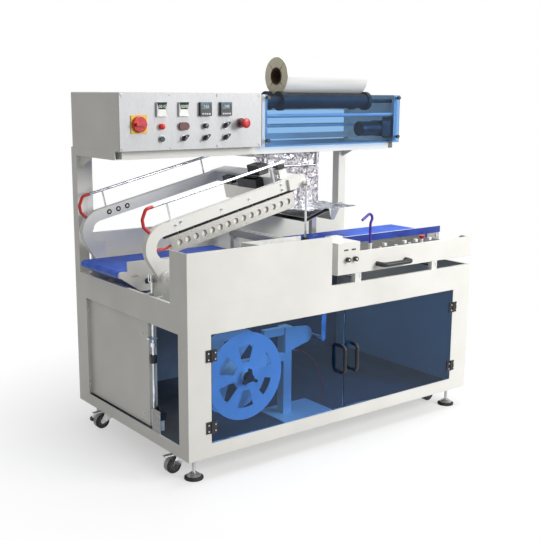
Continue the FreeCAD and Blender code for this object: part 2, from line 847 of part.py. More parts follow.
def display(column, row, width, height, reach):
    """A bezel proud of the panel, with its window set back in the face."""
    face = S.box_front - reach
    bezel = box(
        (column - width / 2, column + width / 2), (face, S.box_front), (row - height / 2, row + height / 2)
    )
    edge = bezel_edge
    window = box(
        (column - width / 2 + edge, column + width / 2 - edge), (face - 1, face + window_depth),
        (row, row + height / 2 - edge),
    )
    return cut(bezel, window)


lamp_reach = 12
lamp_radius = 13


def panel_displays():
    """Two counters, two temperature controllers, the run lamp and the bezels of the controls."""
    counter = S.counter_side
    tall = counter * 1.2
    pieces = [display(c, S.upper_row, counter, tall, 10) for c in (S.first_column, S.second_column)]
    side = S.display_side
    pieces += [display(c, S.upper_row, side, side, 14) for c in (S.third_column, S.fourth_column)]
    lamp_at = (S.first_column, S.box_front - lamp_reach, S.middle_row)
    pieces.append(fuse(bar("y", lamp_at, lamp_radius, lamp_reach), ball(lamp_at, lamp_radius - 1)))
    return pieces


plate_thick = 4
collar_reach = 14
stem_radius = 9
stop_travel = 5
bezel_reach = 5


def make_panel_fittings():
    """The displays, the isolator's square plate, the stop's collar and the bezels round each control."""
    front = S.box_front
    half = S.isolator_plate / 2
    plate = box(
        (S.isolator_column - half, S.isolator_column + half), (front - plate_thick, front),
        (S.isolator_row - half, S.isolator_row + half),
    )
    pieces = panel_displays() + [plate]
    pieces.append(
        tube(
            "y", (S.stop_column, front - collar_reach, S.stop_row), S.stop_radius,
            stem_radius + S.control_gap, collar_reach,
        )
    )
    pieces.append(bar("y", (S.second_column, front - 3.7, S.middle_row), size_of(2.5), size_of(3.7)))
    for column, row, hole in control_places():
        pieces.append(
            tube(
                "y", (column, front - bezel_reach, row), S.selector_radius + 2,
                hole + S.control_gap, bezel_reach,
            )
        )
    node("panel_fittings", group(*pieces))


def control_places():
    """Column, row and moving radius of each small control."""
    small = S.selector_radius - 1
    return (
        (S.first_column, S.lower_row, small),
        (S.third_column, S.middle_row, small),
        (S.fourth_column, S.middle_row, small),
        (S.second_column, S.lower_row, small),
        (S.third_column, S.lower_row, small),
        (S.fourth_column, S.lower_row, small),
    )


def make_controls():
    """Everything on the panel that a hand moves."""
    front = S.box_front
    gap = S.control_gap
    # isolator grip: a round boss with a raised bar across it
    body = body_called("isolator_grip")
    rim = S.isolator_radius
    base = plate_thick + gap
    revolved(
        body,
        [(-base, 0), (-base, rim), (-base - 8, rim), (-base - 11, rim - 3), (-base - 11, 0)],
    )
    pad(
        body, "y", -base - 26, 16,
        [
            Arc(0, rim * 0.55, 7, 0, 180), Arc(0, rim * -0.55, 7, 180, 360),
        ],
    )
    node("isolator_grip", body, at=shifted(MACHINE, S.isolator_column, front, S.isolator_row),
         rotation=FreeCAD.Rotation(FreeCAD.Vector(0, 1, 0), 90))
    # emergency stop: stem and mushroom
    body = body_called("emergency_stop")
    reach, cap = S.stop_reach, S.stop_radius
    revolved(
        body,
        [
            (-stop_travel - 1, 0), (-stop_travel - 1, stem_radius), (-reach + 14, stem_radius),
            (-reach + 14, cap),
            (-reach + 6, cap), (-reach + 2, cap * 0.8), (-reach, cap * 0.4), (-reach, 0),
        ],
    )
    node("emergency_stop", body, at=shifted(MACHINE, S.stop_column, front, S.stop_row))
    small = S.selector_radius - 1
    # push button
    body = body_called("start_button")
    revolved(body, [(-3.5, 0), (-3.5, small), (-10, small), (-11, small - 1), (-11, 0)])
    node("start_button", body, at=shifted(MACHINE, S.first_column, front, S.lower_row))
    # speed dial with a fluted skirt
    body = body_called("speed_dial")
    revolved(body, [(-gap, 0), (-gap, small), (-16, small), (-20, small - 3), (-20, 0)])
    doc.recompute()
    flute = pocket(body, "y", -22, 15, circles=[(small + 1, 0, 2)])
    repeat_round(body, flute, "Y_Axis", 8)
    node("speed_dial", body, at=shifted(MACHINE, S.third_column, front, S.middle_row))
    # selectors: a barrel with a lever across it
    selectors = (
        ("seal_selector", S.fourth_column, S.middle_row),
        ("feed_selector", S.second_column, S.lower_row),
        ("belt_selector", S.third_column, S.lower_row),
        ("heat_selector", S.fourth_column, S.lower_row),
    )
    for name, column, row in selectors:
        body = body_called(name)
        revolved(body, [(-gap, 0), (-gap, small), (-9, small), (-10, small - 1), (-10, 0)])
        pad(body, "y", -24, 15, [Arc(0, small + 6, 4, 0, 180), Arc(0, -small + 2, 4, 180, 360)])
        node(name, body, at=shifted(MACHINE, column, front, row),
             rotation=FreeCAD.Rotation(FreeCAD.Vector(0, 1, 0), 45))
    # rocker: an oval paddle in a shallow cradle
    body = body_called("film_rocker")
    half, tall = 15, 17
    pad(
        body, "y", -11, 7,
        [Arc(half * 0.6, 0, tall, -90, 90), Arc(-half * 0.6, 0, tall, 90, 270)],
    )
    node("film_rocker", body, at=shifted(MACHINE, S.second_column, front, S.middle_row))


# ---------------------------------------------------------------- film rack
rack_standoff = 14
rack_slope = 60


def make_rack():
    """Two flanged side plates tied by cross bars, with the polished film rods below."""
    front = S.rack_front + S.acrylic + rack_standoff
    low, high, thick = S.rack_low + 3, S.rack_high, S.rack_plate
    plates = []
    for left, inward in ((S.rack_left, 1), (S.rack_right - S.rack_plate, -1)):
        body = body_called("rack_side")
        slope = rack_slope
        pad(
            body, "x", left, thick,
            [
                (front, low), (S.rack_rear, low), (S.rack_rear, high - slope),
                (S.rack_rear - slope, high), (front, high),
            ],
            circles=[
                (S.roll_y - S.cradle_half, S.cradle_z, S.cradle_shaft + S.axle_gap),
                (S.roll_y + S.cradle_half, S.cradle_z, S.cradle_shaft + S.axle_gap),
            ],
        )
        a, b = (left, left + S.rack_flange) if inward == 1 else (left + thick - S.rack_flange, left + thick)
        pad(body, "y", front - 3, 3, rectangle((a, b), (low, high)))
        plates.append(body)
    inner = S.rack_left + thick
    span = S.rack_right - S.rack_left - 2 * thick
    ties = [
        square_tube("x", (inner, S.rack_rear - 40, low + 10), size_of(30), span, size_of(3)),
        square_tube("x", (inner, S.rack_rear - 40, S.rack_high - 80), size_of(30), span, size_of(3)),
        bar("x", (inner, S.roll_y - 75, S.cradle_z - 70), S.idler_radius, span),
        bar("x", (inner, S.roll_y + 30, S.cradle_z - 120), S.idler_radius, span),
    ]
    turn_y = S.web_y + S.idler_radius
    rail_rear = S.head_front + S.head_tube
    rail_low = S.box_low - S.head_tube
    turn_rod = [bar("x", (S.rod_left, turn_y, S.web_high), S.idler_radius, S.rod_length)]
    for x in (S.rod_left, S.rod_left + S.rod_length - S.hanger):
        turn_rod.append(
            box((x, x + S.hanger), (rail_rear, turn_y + S.idler_radius), (rail_low, S.box_low))
        )
    guide_rod = [bar("x", (S.guide_left, rail_rear + 3, S.guide_rod_z), S.rod_thin, S.guide_length)]
    for x in (S.guide_left, S.guide_left + S.guide_length - S.hanger):
        guide_rod.append(
            box((x, x + S.hanger), (rail_rear, rail_rear + 8), (S.guide_rod_z - 8, S.box_low))
        )
    x = S.rack_right - S.rack_plate
    z = S.rack_low + 72
    drive = fuse(
        box((x - 10, x), (S.roll_y - 88, S.roll_y), (S.rack_low + 20, S.rack_low + 130)),
        box((x - 90, x - 10), (S.roll_y - 84, S.roll_y - 4), (z - 40, z + 40)),
        bar("x", (x - 220, S.roll_y - 44, z), size_of(38), size_of(130)),
    )
    node("film_rack", group(fuse(*plates, *ties), fuse(*turn_rod), fuse(*guide_rod), drive))


def make_rack_cover():
    """Tinted acrylic sheet held off the rack by spacers under black knobs."""
    front = S.rack_front
    left, right = S.rack_left + S.cover_inset, S.rack_right
    body = body_called("cover_sheet")
    pad(body, "y", front, S.acrylic, rectangle((left, right), (S.rack_low, S.rack_high)))
    knobs = []
    for x in (left + 9, right - 14):
        for z in (S.rack_low + 30, S.rack_high - 14):
            knobs.append(bar("y", (x, front - 12, z), size_of(9), size_of(12)))
            knobs.append(bar("y", (x, front + S.acrylic, z), size_of(5), rack_standoff - 3))
    node("rack_cover", group(body, *knobs))


def make_roll():
    """Film wound on a cardboard core, resting on two rollers with rubber side discs."""
    apart = S.roll_radius + S.cradle_radius + S.roll_gap
    rise = root(apart * apart - S.cradle_half * S.cradle_half)
    axis = (S.roll_left, S.roll_y, S.cradle_z + rise)
    core_at = shifted(axis, x=-S.core_reach)
    film = tube("x", axis, S.roll_radius, S.core_radius, S.roll_length)
    core = tube("x", core_at, S.core_radius, S.core_bore, S.roll_length + 2 * S.core_reach)
    node("film_roll", group(film, core))
    for name, side in (("front_cradle", -1), ("rear_cradle", 1)):
        y = S.roll_y + side * S.cradle_half
        left, right = S.rack_left + S.rack_plate, S.rack_right - S.rack_plate
        drum_left = S.roll_left - 6
        drum_right = S.roll_left + S.roll_length + 6
        shaft = bar("x", (S.rack_left - 4, y, S.cradle_z), S.cradle_shaft, S.rack_right - S.rack_left + 8)
        drum = bar("x", (drum_left, y, S.cradle_z), S.cradle_radius, drum_right - drum_left)
        discs = [
            bar("x", (drum_left - S.disc_width, y, S.cradle_z), S.disc_radius, S.disc_width),
            bar("x", (drum_right, y, S.cradle_z), S.disc_radius, S.disc_width),
            bar("x", (left + 40, y, S.cradle_z), S.cradle_radius * 0.6, drum_left - left - 50),
        ]
        node(name, fuse(shaft, drum, *discs))


# ---------------------------------------------------------------- film web and former
former_lip = 26


def make_web_and_former():
    """The film hanging off its rods, and the two bent plates that turn it inside out."""
    web = body_called("film_web")
    pad(
        web, "y", S.web_y - S.web_thick, S.web_thick,
        [
            (S.web_left + 127, S.web_low), (S.web_right, S.web_low), (S.web_right, S.web_high),
            (S.web_left, S.web_high), (S.web_left, S.web_high - 14), (S.web_left + 57, S.web_high - 91),
            (S.web_left + 127, S.web_low + 19),
        ],
    )
    node("film_web", web)
    body = body_called("film_former")
    left, right = S.pivot_x + S.arm_reach + S.cross_width + 12, S.web_right + 60
    front, rear = S.front_arm_y + 70, S.rear_arm_y - 40
    for z in (S.former_z, S.former_z - S.former_gap):
        pad(body, "z", z, S.former_sheet, [(left, front), (right, rear - 200), (right, rear), (left, rear)])
    rim_high = S.former_gap + former_lip
    pad(
        body, "y", rear, S.former_sheet,
        rectangle((left, right), (S.former_z - S.former_gap, S.former_z - S.former_gap + rim_high)),
    )
    pad(
        body, "x", right, S.former_sheet,
        [
            (rear - 230, S.former_z - 60), (rear + S.former_sheet, S.former_z - 60),
            (rear + S.former_sheet, S.former_z + former_lip), (rear - 200, S.former_z + former_lip),
        ],
    )
    pad(
        body, "y", rear - 230 - S.former_sheet, S.former_sheet,
        [
            (right, S.former_z - 60), (right + 20, S.former_z - 60),
            (right + 75, S.former_z + former_lip), (right, S.former_z + former_lip),
        ],
    )
    foot = S.rail_length - rail_end_gap
    pad(
        body, "z", S.cabinet_height - S.wall, S.former_z - S.former_gap - S.cabinet_height + S.wall,
        rectangle((right - 90, right - 60), (foot, foot + S.block_depth)),
    )
    node("film_former", body)


# ---------------------------------------------------------------- seal head
# These pieces are drawn with the arm level and the pivot at X = 0, Z = 0, then stored raised.
HEAD = shifted(MACHINE, S.pivot_x, 0, S.pivot_z)
RAISED = FreeCAD.Rotation(FreeCAD.Vector(0, -1, 0), 1)
ARM_LOW = S.hook_z + S.hook_inner
ARM_HIGH = ARM_LOW + S.arm_height
KNIFE_HIGH = ARM_LOW - S.knife_gap
KNIFE_LOW = KNIFE_HIGH - S.knife_height
KNIFE_Y = S.front_arm_y + S.arm_thick / 2
CROSS_KNIFE_X = S.knife_end - S.knife_thick / 2
FRONT_BRACKETS = (
    S.front_arm_y - S.bracket_gap - S.bracket_thick,
    S.lever_y + S.lever_thick + S.inner_bracket,
)
REAR_BRACKET = S.rear_arm_y + S.arm_thick + S.bracket_gap
STRUT_X = S.pivot_x + S.strut_pin_x * cosine(S.raise_angle) - S.strut_pin_z * sine(S.raise_angle)


def head_node(label, piece):
    """A piece of the seal frame, stored raised by the sheet's angle."""
    node(label, piece, HEAD, RAISED)
    bind(piece, "Placement.Rotation.Angle", S.raise_angle)


def make_arm(name, front):
    """One arm: straight section that hooks round to a boss on its hinge shaft."""
    outer = S.hook_inner + S.arm_height
    body = body_called(name)
    pad(
        body, "y", front, S.arm_thick,
        [
            Arc(0, 0, S.boss_radius, S.hook_turn, 360),
            Arc(S.hook_x, S.hook_z, S.hook_inner, 270, 90),
            (S.arm_reach, ARM_LOW),
            (S.arm_reach, ARM_HIGH),
            Arc(S.hook_x, S.hook_z, outer, 90, S.hook_turn),
        ],
    )
    return body


def make_front_arm():
    """The front arm with its stub shaft, and the drive lever on the same shaft."""
    arm = make_arm("front_arm_plate", S.front_arm_y)
    pin_x = S.knife_left + S.knife_solid / 2
    pocket(
        arm, "z", ARM_LOW, S.pin_length, circles=[(pin_x, KNIFE_Y, S.pin_radius + S.control_gap)]
    )
    shaft_from = FRONT_BRACKETS[0] - S.shaft_end
    shaft_to = FRONT_BRACKETS[1] + S.bracket_thick + S.shaft_end
    shaft = bar("y", (0, shaft_from, 0), S.shaft_radius, shaft_to - shaft_from)
    lever = body_called("drive_lever")
    pin_a = -S.lever * cosine(S.raise_angle)
    pin_b = S.lever * sine(S.raise_angle)
    pad(
        lever, "y", S.lever_y, S.lever_thick,
        [Arc(0, 0, 20, 270, 450), Arc(pin_a, pin_b, 9, 90, 270)],
    )
    pin = bar("y", (pin_a, S.lever_y - 8, pin_b), size_of(5), S.lever_thick + 12)
    head_node("front_arm", fuse(arm, shaft, lever, pin))


def make_rear_arm():
    """The rear arm with its stub shaft."""
    arm = make_arm("rear_arm_plate", S.rear_arm_y)
    grommets = [(90 + 48 * k, ARM_LOW + 26, 9) for k in range(3)]
    for a, b, radius in grommets:
        pocket(arm, "y", S.rear_arm_y, 8, circles=[(a, b, radius)])
    shaft_to = REAR_BRACKET + S.bracket_thick + S.shaft_end
    shaft = bar("y", (0, S.rear_arm_y, 0), S.shaft_radius, shaft_to - S.rear_arm_y)
    head_node("rear_arm", fuse(arm, shaft))


def make_cross_arm():
    """Box section across the free ends of both arms, bored for the guard's guide pins."""
    left, right = S.arm_reach, S.arm_reach + S.cross_width
    front = S.front_arm_y - S.cross_lap
    rear = S.rear_arm_y + S.arm_thick + S.cross_lap
    body = body_called("cross_section")
    chamfer = 8
    pad(
        body, "y", front, rear - front,
        [
            (left, ARM_LOW), (right, ARM_LOW), (right, ARM_HIGH - chamfer),
            (right - chamfer, ARM_HIGH), (left, ARM_HIGH),
        ],
    )
    hole = S.pin_radius + S.control_gap
    pocket(
        body, "z", ARM_LOW, S.pin_length,
        circles=[(CROSS_KNIFE_X, KNIFE_Y, hole), (CROSS_KNIFE_X, S.knife_rear - S.knife_solid / 2, hole)],
    )
    pin_from = S.strut_y - 14
    strut_pin = bar("y", (S.strut_pin_x, pin_from, S.strut_pin_z), S.strut_pin, front - pin_from)
    strut_cap = bar("y", (S.strut_pin_x, S.strut_y - 18, S.strut_pin_z), size_of(10), size_of(4))
    head_node("cross_arm", fuse(body, strut_pin, strut_cap))


def make_guard_rail():
    """Polished rail above the arms on thin stand-offs."""
    z = ARM_HIGH + S.rail_rise
    front = S.front_arm_y + S.arm_thick / 2
    rear = S.rear_arm_y + S.arm_thick / 2
    right = S.arm_reach + S.cross_width / 2
    rail = feature_of(
        bent_tube(
            [(S.rail_end, front, z), (right, front, z), (right, rear, z), (S.rail_end, rear, z)],
            S.rail_radius, 40,
        )
    )
    posts = []
    for y in (front, rear):
        for x in (S.hook_x + 50, S.arm_reach - 60):
            posts.append(bar("z", (x, y, ARM_HIGH), size_of(4), S.rail_rise))
    head_node("guard_rail", fuse(rail, *posts))


def make_knife_guard():
    """Sprung guard: an L of perforated sheet round the blade, on three guide pins."""
    half = S.knife_thick / 2
    wall = S.knife_wall
    front, back = KNIFE_Y - half, KNIFE_Y + half
    left, right = S.knife_left, S.knife_end
    inner_right = right - S.knife_thick
    rear = S.knife_rear
    body = body_called("guard_shell")
    pad(
        body, "z", KNIFE_LOW, S.knife_height,
        [
            (left, front), (right, front), (right, rear), (inner_right, rear), (inner_right, back),
            (left, back),
        ],
    )
    end = S.knife_solid
    pocket(
        body, "z", KNIFE_LOW, S.knife_height,
        rectangle((left + end, inner_right), (front + wall, back - wall)),
    )
    pocket(
        body, "z", KNIFE_LOW, S.knife_height,
        rectangle((inner_right + wall, right - wall), (back, rear - end)),
    )
    middle = KNIFE_LOW + S.knife_height / 2
    first = left + end + S.hole_radius + 3
    holes = pocket(body, "y", front - 1, S.knife_thick + 2, circles=[(first, middle, S.hole_radius)])
    repeat_along(body, holes, "X_Axis", S.hole_pitch * (S.hole_count - 1), S.hole_count)
    places = ((left + end / 2, KNIFE_Y), (CROSS_KNIFE_X, KNIFE_Y), (CROSS_KNIFE_X, rear - end / 2))
    for x, y in places:
        pad(body, "z", KNIFE_HIGH - 1, S.pin_length - 2, circles=[(x, y, S.pin_radius)])
    head_node("knife_guard", body)


def make_blade():
    """Heated L blade inside the guard, hung from the arms."""
    half = S.blade_thick / 2
    low = KNIFE_LOW + S.blade_set
    left = S.knife_left + 34
    right = CROSS_KNIFE_X - 16
    front_blade = box((left, right), (KNIFE_Y - half, KNIFE_Y + half), (low, ARM_LOW))
    cross_blade = box(
        (CROSS_KNIFE_X - half, CROSS_KNIFE_X + half), (KNIFE_Y + 16, S.knife_rear - 34), (low, ARM_LOW)
    )
    head_node("seal_blade", group(front_blade, cross_blade))


def make_head_fittings():
    """Solenoid valves, terminal block and clamps along the cross arm."""
    x = S.arm_reach
    high = ARM_HIGH
    front = S.front_arm_y
    pieces = [
        box((x - 44, x), (front + 180, front + 330), (ARM_LOW + 4, high - 4)),
        box((x + 6, x + 60), (front + 210, front + 300), (high, high + 46)),
        box((x + 10, x + 50), (front + 60, front + 130), (high, high + 34)),
        fuse(
            box((x - 4, x), (front + 60, front + 110), (ARM_LOW, high + 20)),
            box((x - 30, x - 4), (front + 60, front + 66), (ARM_LOW + 10, high)),
        ),
        box((x - 30, x), (front + 400, front + 470), (ARM_LOW + 6, high - 10)),
    ]
    head_node("head_fittings", group(*pieces, *sleeves()))


def sleeves():
    """Red air hose from each end of the guard rail round to its arm."""
    z = ARM_HIGH + S.rail_rise
    shapes = []
    outer = S.hook_inner + S.arm_height
    across, up = cosine(125), sine(125)
    for y in (S.front_arm_y + S.arm_thick / 2, S.rear_arm_y + S.arm_thick / 2):
        stops = [(S.rail_end, y, z), (S.rail_end - 34, y, z), (S.rail_end - 60, y, z - 37)]
        for out in (34, 0.4):
            stops.append((S.hook_x + (outer + out) * across, y, S.hook_z + (outer + out) * up))
        shapes.append(feature_of(bent_tube(stops, S.sleeve_radius, [20, 20, 16])))
    return shapes


def make_hinge_brackets():
    """Three bearing brackets on the cabinet wall that carry the stub shafts."""
    wall = S.wall
    under = S.cabinet_height - wall
    brackets = []
    for front in (*FRONT_BRACKETS, REAR_BRACKET):
        body = body_called("bracket")
        left, right = S.pivot_x - S.boss_radius, S.pivot_x + S.boss_radius
        pad(
            body, "y", front, S.bracket_thick,
            [
                Arc(S.pivot_x, S.pivot_z, S.boss_radius, 0, 180),
                (left, under + 8), (S.rim + 2, under), (wall, under), (wall, under - 110),
                (right, under - 50),
            ],
            circles=[(S.pivot_x, S.pivot_z, S.shaft_radius + S.shaft_gap)],
        )
        brackets.append(body)
    node("hinge_brackets", group(*brackets))


def make_drive():
    """Air cylinder in the left bay: barrel, guide and foot; its rod works the lever."""
    x = S.pivot_x - S.lever
    y = S.lever_y + S.lever_thick / 2
    low, high = S.barrel_low, S.barrel_high
    r = S.barrel_radius
    bore = S.drive_rod + S.control_gap
    foot = box((x - r, x + r), (y - r, y + r), (S.wall, low))
    barrel = cut(bar("z", (x, y, low), r, high - low), bar("z", (x, y, low + 8), bore, high - low))
    guide = cut(
        box((S.wall, x + r), (y - r, y + r), (S.drive_guide, S.drive_guide + 8)),
        bar("z", (x, y, S.drive_guide - 1), bore, size_of(10)),
    )
    top = S.pivot_z
    eye_bore = 5 + 1.6
    rod = bar("z", (x, y, low + 20), S.drive_rod, top - low - 20 - 18)
    fork = cut(
        box((x - 11, x + 11), (y - 13, y + 13), (top - 21, top + 12)),
        box((x - 12, x + 12), (y - S.lever_thick / 2 - 1, y + S.lever_thick / 2 + 1), (top - 17, top + 13)),
        bar("y", (x, y - 14, top), size_of(eye_bore), size_of(28)),
    )
    collar = bar("z", (x, y, S.drive_guide - 34), size_of(11), size_of(18))
    node("drive_rod", fuse(rod, fork, collar))
    # filter and regulator on the bay's inner face
    parts = []
    for fy, bowl_high in ((S.side_front + 175, 44), (S.side_front + 205, 40)):
        head = box((S.wall + 3, S.wall + 34), (fy - 13, fy + 13), (106, 140))
        bowl = bar("z", (S.wall + 18, fy, 106 - bowl_high), size_of(12), size_of(bowl_high))
        knob = bar("z", (S.wall + 18, fy, 140), size_of(9), size_of(18))
        parts += [head, bowl, knob]
    fy = S.side_front + 175
    parts.append(box((S.wall, S.wall + 3), (fy - 16, fy + 46), (S.wall, 150)))
    node("air_drive", group(fuse(foot, barrel), guide, fuse(*parts)))


def make_strut():
    """Lift strut at the free end: a cylinder on a pin, and the rod that hangs from the arm."""
    eye = 14
    half = 12
    x, y, z = STRUT_X, S.strut_y, S.strut_z
    cap = 22
    body = fuse(
        bar("y", (x, y - half, z), size_of(eye), size_of(2 * half)),
        bar("z", (x, y, z), S.strut_outer, S.strut_length),
    )
    cylinder = cut(
        body,
        bar("y", (x, y - S.strut_outer - 1, z), S.strut_pin + S.shaft_gap, S.strut_outer * 2 + 2),
        bar("z", (x, y, z + cap), S.strut_bore, S.strut_length),
    )
    node("strut_cylinder", cylinder)
    pin_x = STRUT_X
    pin_z = S.pivot_z + S.strut_pin_x * sine(S.raise_angle) + S.strut_pin_z * cosine(S.raise_angle)
    top = cut(
        fuse(
            bar("y", (pin_x, y - half, pin_z), size_of(11), size_of(2 * half)),
            bar("z", (pin_x, y, pin_z - S.strut_rod_length), S.strut_rod, S.strut_rod_length - 2),
        ),
        bar("y", (pin_x, y - half - 1, pin_z), S.strut_pin + S.shaft_gap, size_of(2 * half + 2)),
    )
    node("strut_rod", top)


def make_seal_bed():
    """Lower jaws with their silicone strips, and the beams and posts that carry them."""
    half = S.jaw_width / 2
    high, low = S.jaw_high, S.jaw_high - S.jaw_height
    cross_x = S.pivot_x + CROSS_KNIFE_X
    y = KNIFE_Y
    right = cross_x + half
    rear = S.knife_rear + 12
    tube, bed = S.bed_tube, S.bed_high
    jaws = [
        box((S.jaw_left, right), (y - half, y + half), (low, high)),
        box((cross_x - half, right), (y + half, rear), (low, high)),
    ]
    posts = [
        box((px, px + 30), (py, py + 30), (bed, low))
        for px, py in (
            (S.jaw_left + 10, y - 15), (cross_x - 15, y - 15), (cross_x - 15, rear - 30),
        )
    ]
    beams = [
        box((S.wall, cross_x + tube / 2), (y - tube / 2, y + tube / 2), (bed - tube, bed)),
        box(
            (cross_x - tube / 2, cross_x + tube / 2),
            (y + tube / 2, S.cabinet_depth - S.wall), (bed - tube, bed),
        ),
    ]
    pin_from = S.strut_y - 16
    pin = bar("y", (STRUT_X, pin_from, S.strut_z), S.strut_pin, y - tube / 2 - pin_from)
    ear = box((STRUT_X - 14, STRUT_X + 14), (y - tube / 2 - 3, y), (S.strut_z - 14, bed))
    strip = box(
        (S.jaw_left + 280, S.jaw_left + 610), (y - half - 30, y - half - 26), (low, high + 36)
    )
    strip_foot = box((S.jaw_left + 280, S.jaw_left + 610), (y - half - 30, y - half), (low, low + 4))
    bed_frame = fuse(*jaws, *posts, *beams, pin, ear, strip, strip_foot)
    half = S.pad_width / 2
    strips = fuse(
        box((S.jaw_left, cross_x + half), (y - half, y + half), (high, high + S.pad_height)),
        box((cross_x - half, cross_x + half), (y + half, rear), (high, high + S.pad_height)),
    )
    node("seal_bed", group(bed_frame, strips))


# ---------------------------------------------------------------- conveyors
def belt_outline(left, right, top, radius):
    """A closed loop: two half rounds joined by straight runs."""
    middle = top - radius
    return [Arc(right - radius, middle, radius, -90, 90), Arc(left + radius, middle, radius, 90, 270)]


def make_belt(name, left, right, top, front, rear):
    body = body_called(name)
    pad(body, "y", front, rear - front, belt_outline(left, right, top, S.belt_radius))
    thick = S.belt_thick
    pocket(
        body, "y", front, rear - front,
        belt_outline(left + thick, right - thick, top - thick, S.belt_radius - thick),
    )
    node(name, body)


def conveyor_bed(left, right, top, front, rear):
    """Slider bed between the belt runs, with a round nose at its left end."""
    low = top - 2 * S.belt_radius + S.belt_thick
    high = top - S.belt_thick
    gap = S.control_gap
    inner = S.belt_radius - S.belt_thick
    return [
        box((left + S.belt_radius, right - 3 * S.belt_radius), (front, rear), (low + gap, high - gap)),
        bar("y", (left + S.belt_radius, front, top - S.belt_radius), inner - gap, rear - front),
    ]


def make_discharge():
    """Discharge conveyor: bed and side plates, belt, and the driven roller at its inner end."""
    left = -S.out_nose
    right, top = S.out_right, S.out_top
    front, rear = S.out_front, S.out_rear
    make_belt("discharge_belt", left, right, top, front, rear)
    plate_front = front - S.belt_gap - S.side_plate
    plate_rear = rear + S.belt_gap
    axis_x, axis_z = right - S.belt_radius, top - S.belt_radius
    plates = []
    for y in (plate_front, plate_rear):
        body = body_called("side_plate")
        pad(
            body, "y", y, S.side_plate,
            [
                (left + 6, top - 4), (left + 6, top - 24), (70, top - 96), (right - 60, top - 96),
                (right + 4, top - 60), (right + 4, top - 4),
            ],
            circles=[
                (axis_x, axis_z, S.shaft_radius - 4 + S.shaft_gap), (103, top - 54, 14),
            ],
        )
        slot_z = top - 27
        pocket(body, "y", y, S.side_plate, [Arc(52, slot_z, 4, -90, 90), Arc(28, slot_z, 4, 90, 270)])
        plates.append(body)
    core = conveyor_bed(left, right, top, front - S.belt_gap, rear + S.belt_gap)
    guide = box((6, right - 20), (plate_front, plate_front + S.side_plate), (top - 6, S.side_guide_high))
    cross = box((right - 120, right - 80), (plate_front, plate_rear + S.side_plate), (top - 96, top - 60))
    legs = [
        box((px, px + 40), (py, py + S.side_plate), (S.bed_high - 40, top - 90))
        for px in (S.out_leg, right - 100) for py in (plate_front, plate_rear)
    ]
    rails = [
        box(
            (px, px + 40), (S.front_arm_y + 35, S.cabinet_depth - S.wall),
            (S.bed_high - 40, S.bed_high - 12),
        )
        for px in (S.out_leg, right - 100)
    ]
    node("discharge_frame", fuse(*plates, *core, guide, cross, *legs, *rails))
    make_drum("discharge_drum", axis_x, axis_z, plate_front - 4, plate_rear + S.side_plate + 4, front, rear)


def make_drum(name, x, z, shaft_from, shaft_to, front, rear):
    """A belt drum on its shaft."""
    radius = S.belt_radius - S.belt_thick - S.control_gap
    shaft = bar("y", (x, shaft_from, z), S.shaft_radius - 4, shaft_to - shaft_from)
    drum = bar("y", (x, front + 2, z), radius, rear - front - 4)
    node(name, fuse(shaft, drum))


handle_drop = 18
post_y = 60
eye_high = 112
shoe_length = 60
rail_end_gap = 18


def make_infeed():
    """Infeed conveyor on a carriage: front panel, tray, adjuster pod, bed and bearings."""
    left, right, top = S.in_left, S.in_right, S.in_top
    front, rear = S.in_front, S.in_rear
    make_belt("infeed_belt", left, right, top, front, rear)
    sheet_thick = S.tray_sheet
    panel_right = S.cabinet_length
    body = body_called("tray")
    pad(
        body, "x", S.tray_left, panel_right - S.tray_left,
        [
            (0, S.tray_low), (rear + 10, S.tray_low), (rear + 10, S.tray_low + sheet_thick),
            (sheet_thick, S.tray_low + sheet_thick), (sheet_thick, S.tray_high - sheet_thick),
            (22, S.tray_high - sheet_thick), (22, S.tray_high), (0, S.tray_high),
        ],
    )
    cheek = [
        (0, S.tray_low), (rear + 10, S.tray_low), (rear + 10, top - 40), (120, top - 40),
        (60, S.tray_high), (0, S.tray_high),
    ]
    for x in (S.tray_left, panel_right - S.tray_sheet):
        pad(body, "x", x, S.tray_sheet, cheek)
    pod = box((S.pod_left, S.tray_left), (0, S.pod_depth), (S.tray_low, S.pod_high))
    plates = [
        box((left + 4, right), (y, y + S.side_plate), (S.tray_low, top - 3))
        for y in (front - S.belt_gap - S.side_plate, rear + S.belt_gap)
    ]
    axis_x, axis_z = right - S.belt_radius, top - S.belt_radius
    bores = [
        bar("y", (axis_x, y - 1, axis_z), S.shaft_radius - 4 + S.shaft_gap, S.side_plate + 2)
        for y in (front - S.belt_gap - S.side_plate, rear + S.belt_gap)
    ]
    core = conveyor_bed(left, right, top, front - S.belt_gap, rear + S.belt_gap)
    shoes = []
    for x in (S.left_rail_x, S.right_rail_x):
        for y in (130, 400):
            shoes.append(
                cut(
                    box((x - 18, x + 18), (y, y + shoe_length), (S.rail_z - 16, S.tray_low)),
                    bar("y", (x, y - 1, S.rail_z), S.slide_radius + S.slide_gap, size_of(shoe_length + 2)),
                )
            )
    base = box((left + 4, S.tray_left), (front - 7, rear + 7), (S.tray_low, S.tray_low + 3))
    floor = cut(fuse(body, pod, *plates, *core, base), *bores)
    node("infeed_carriage", fuse(floor, *shoes))
    make_drum(
        "infeed_drum", axis_x, axis_z, front - S.belt_gap - S.side_plate - 4,
        rear + S.belt_gap + S.side_plate + 4, front, rear,
    )


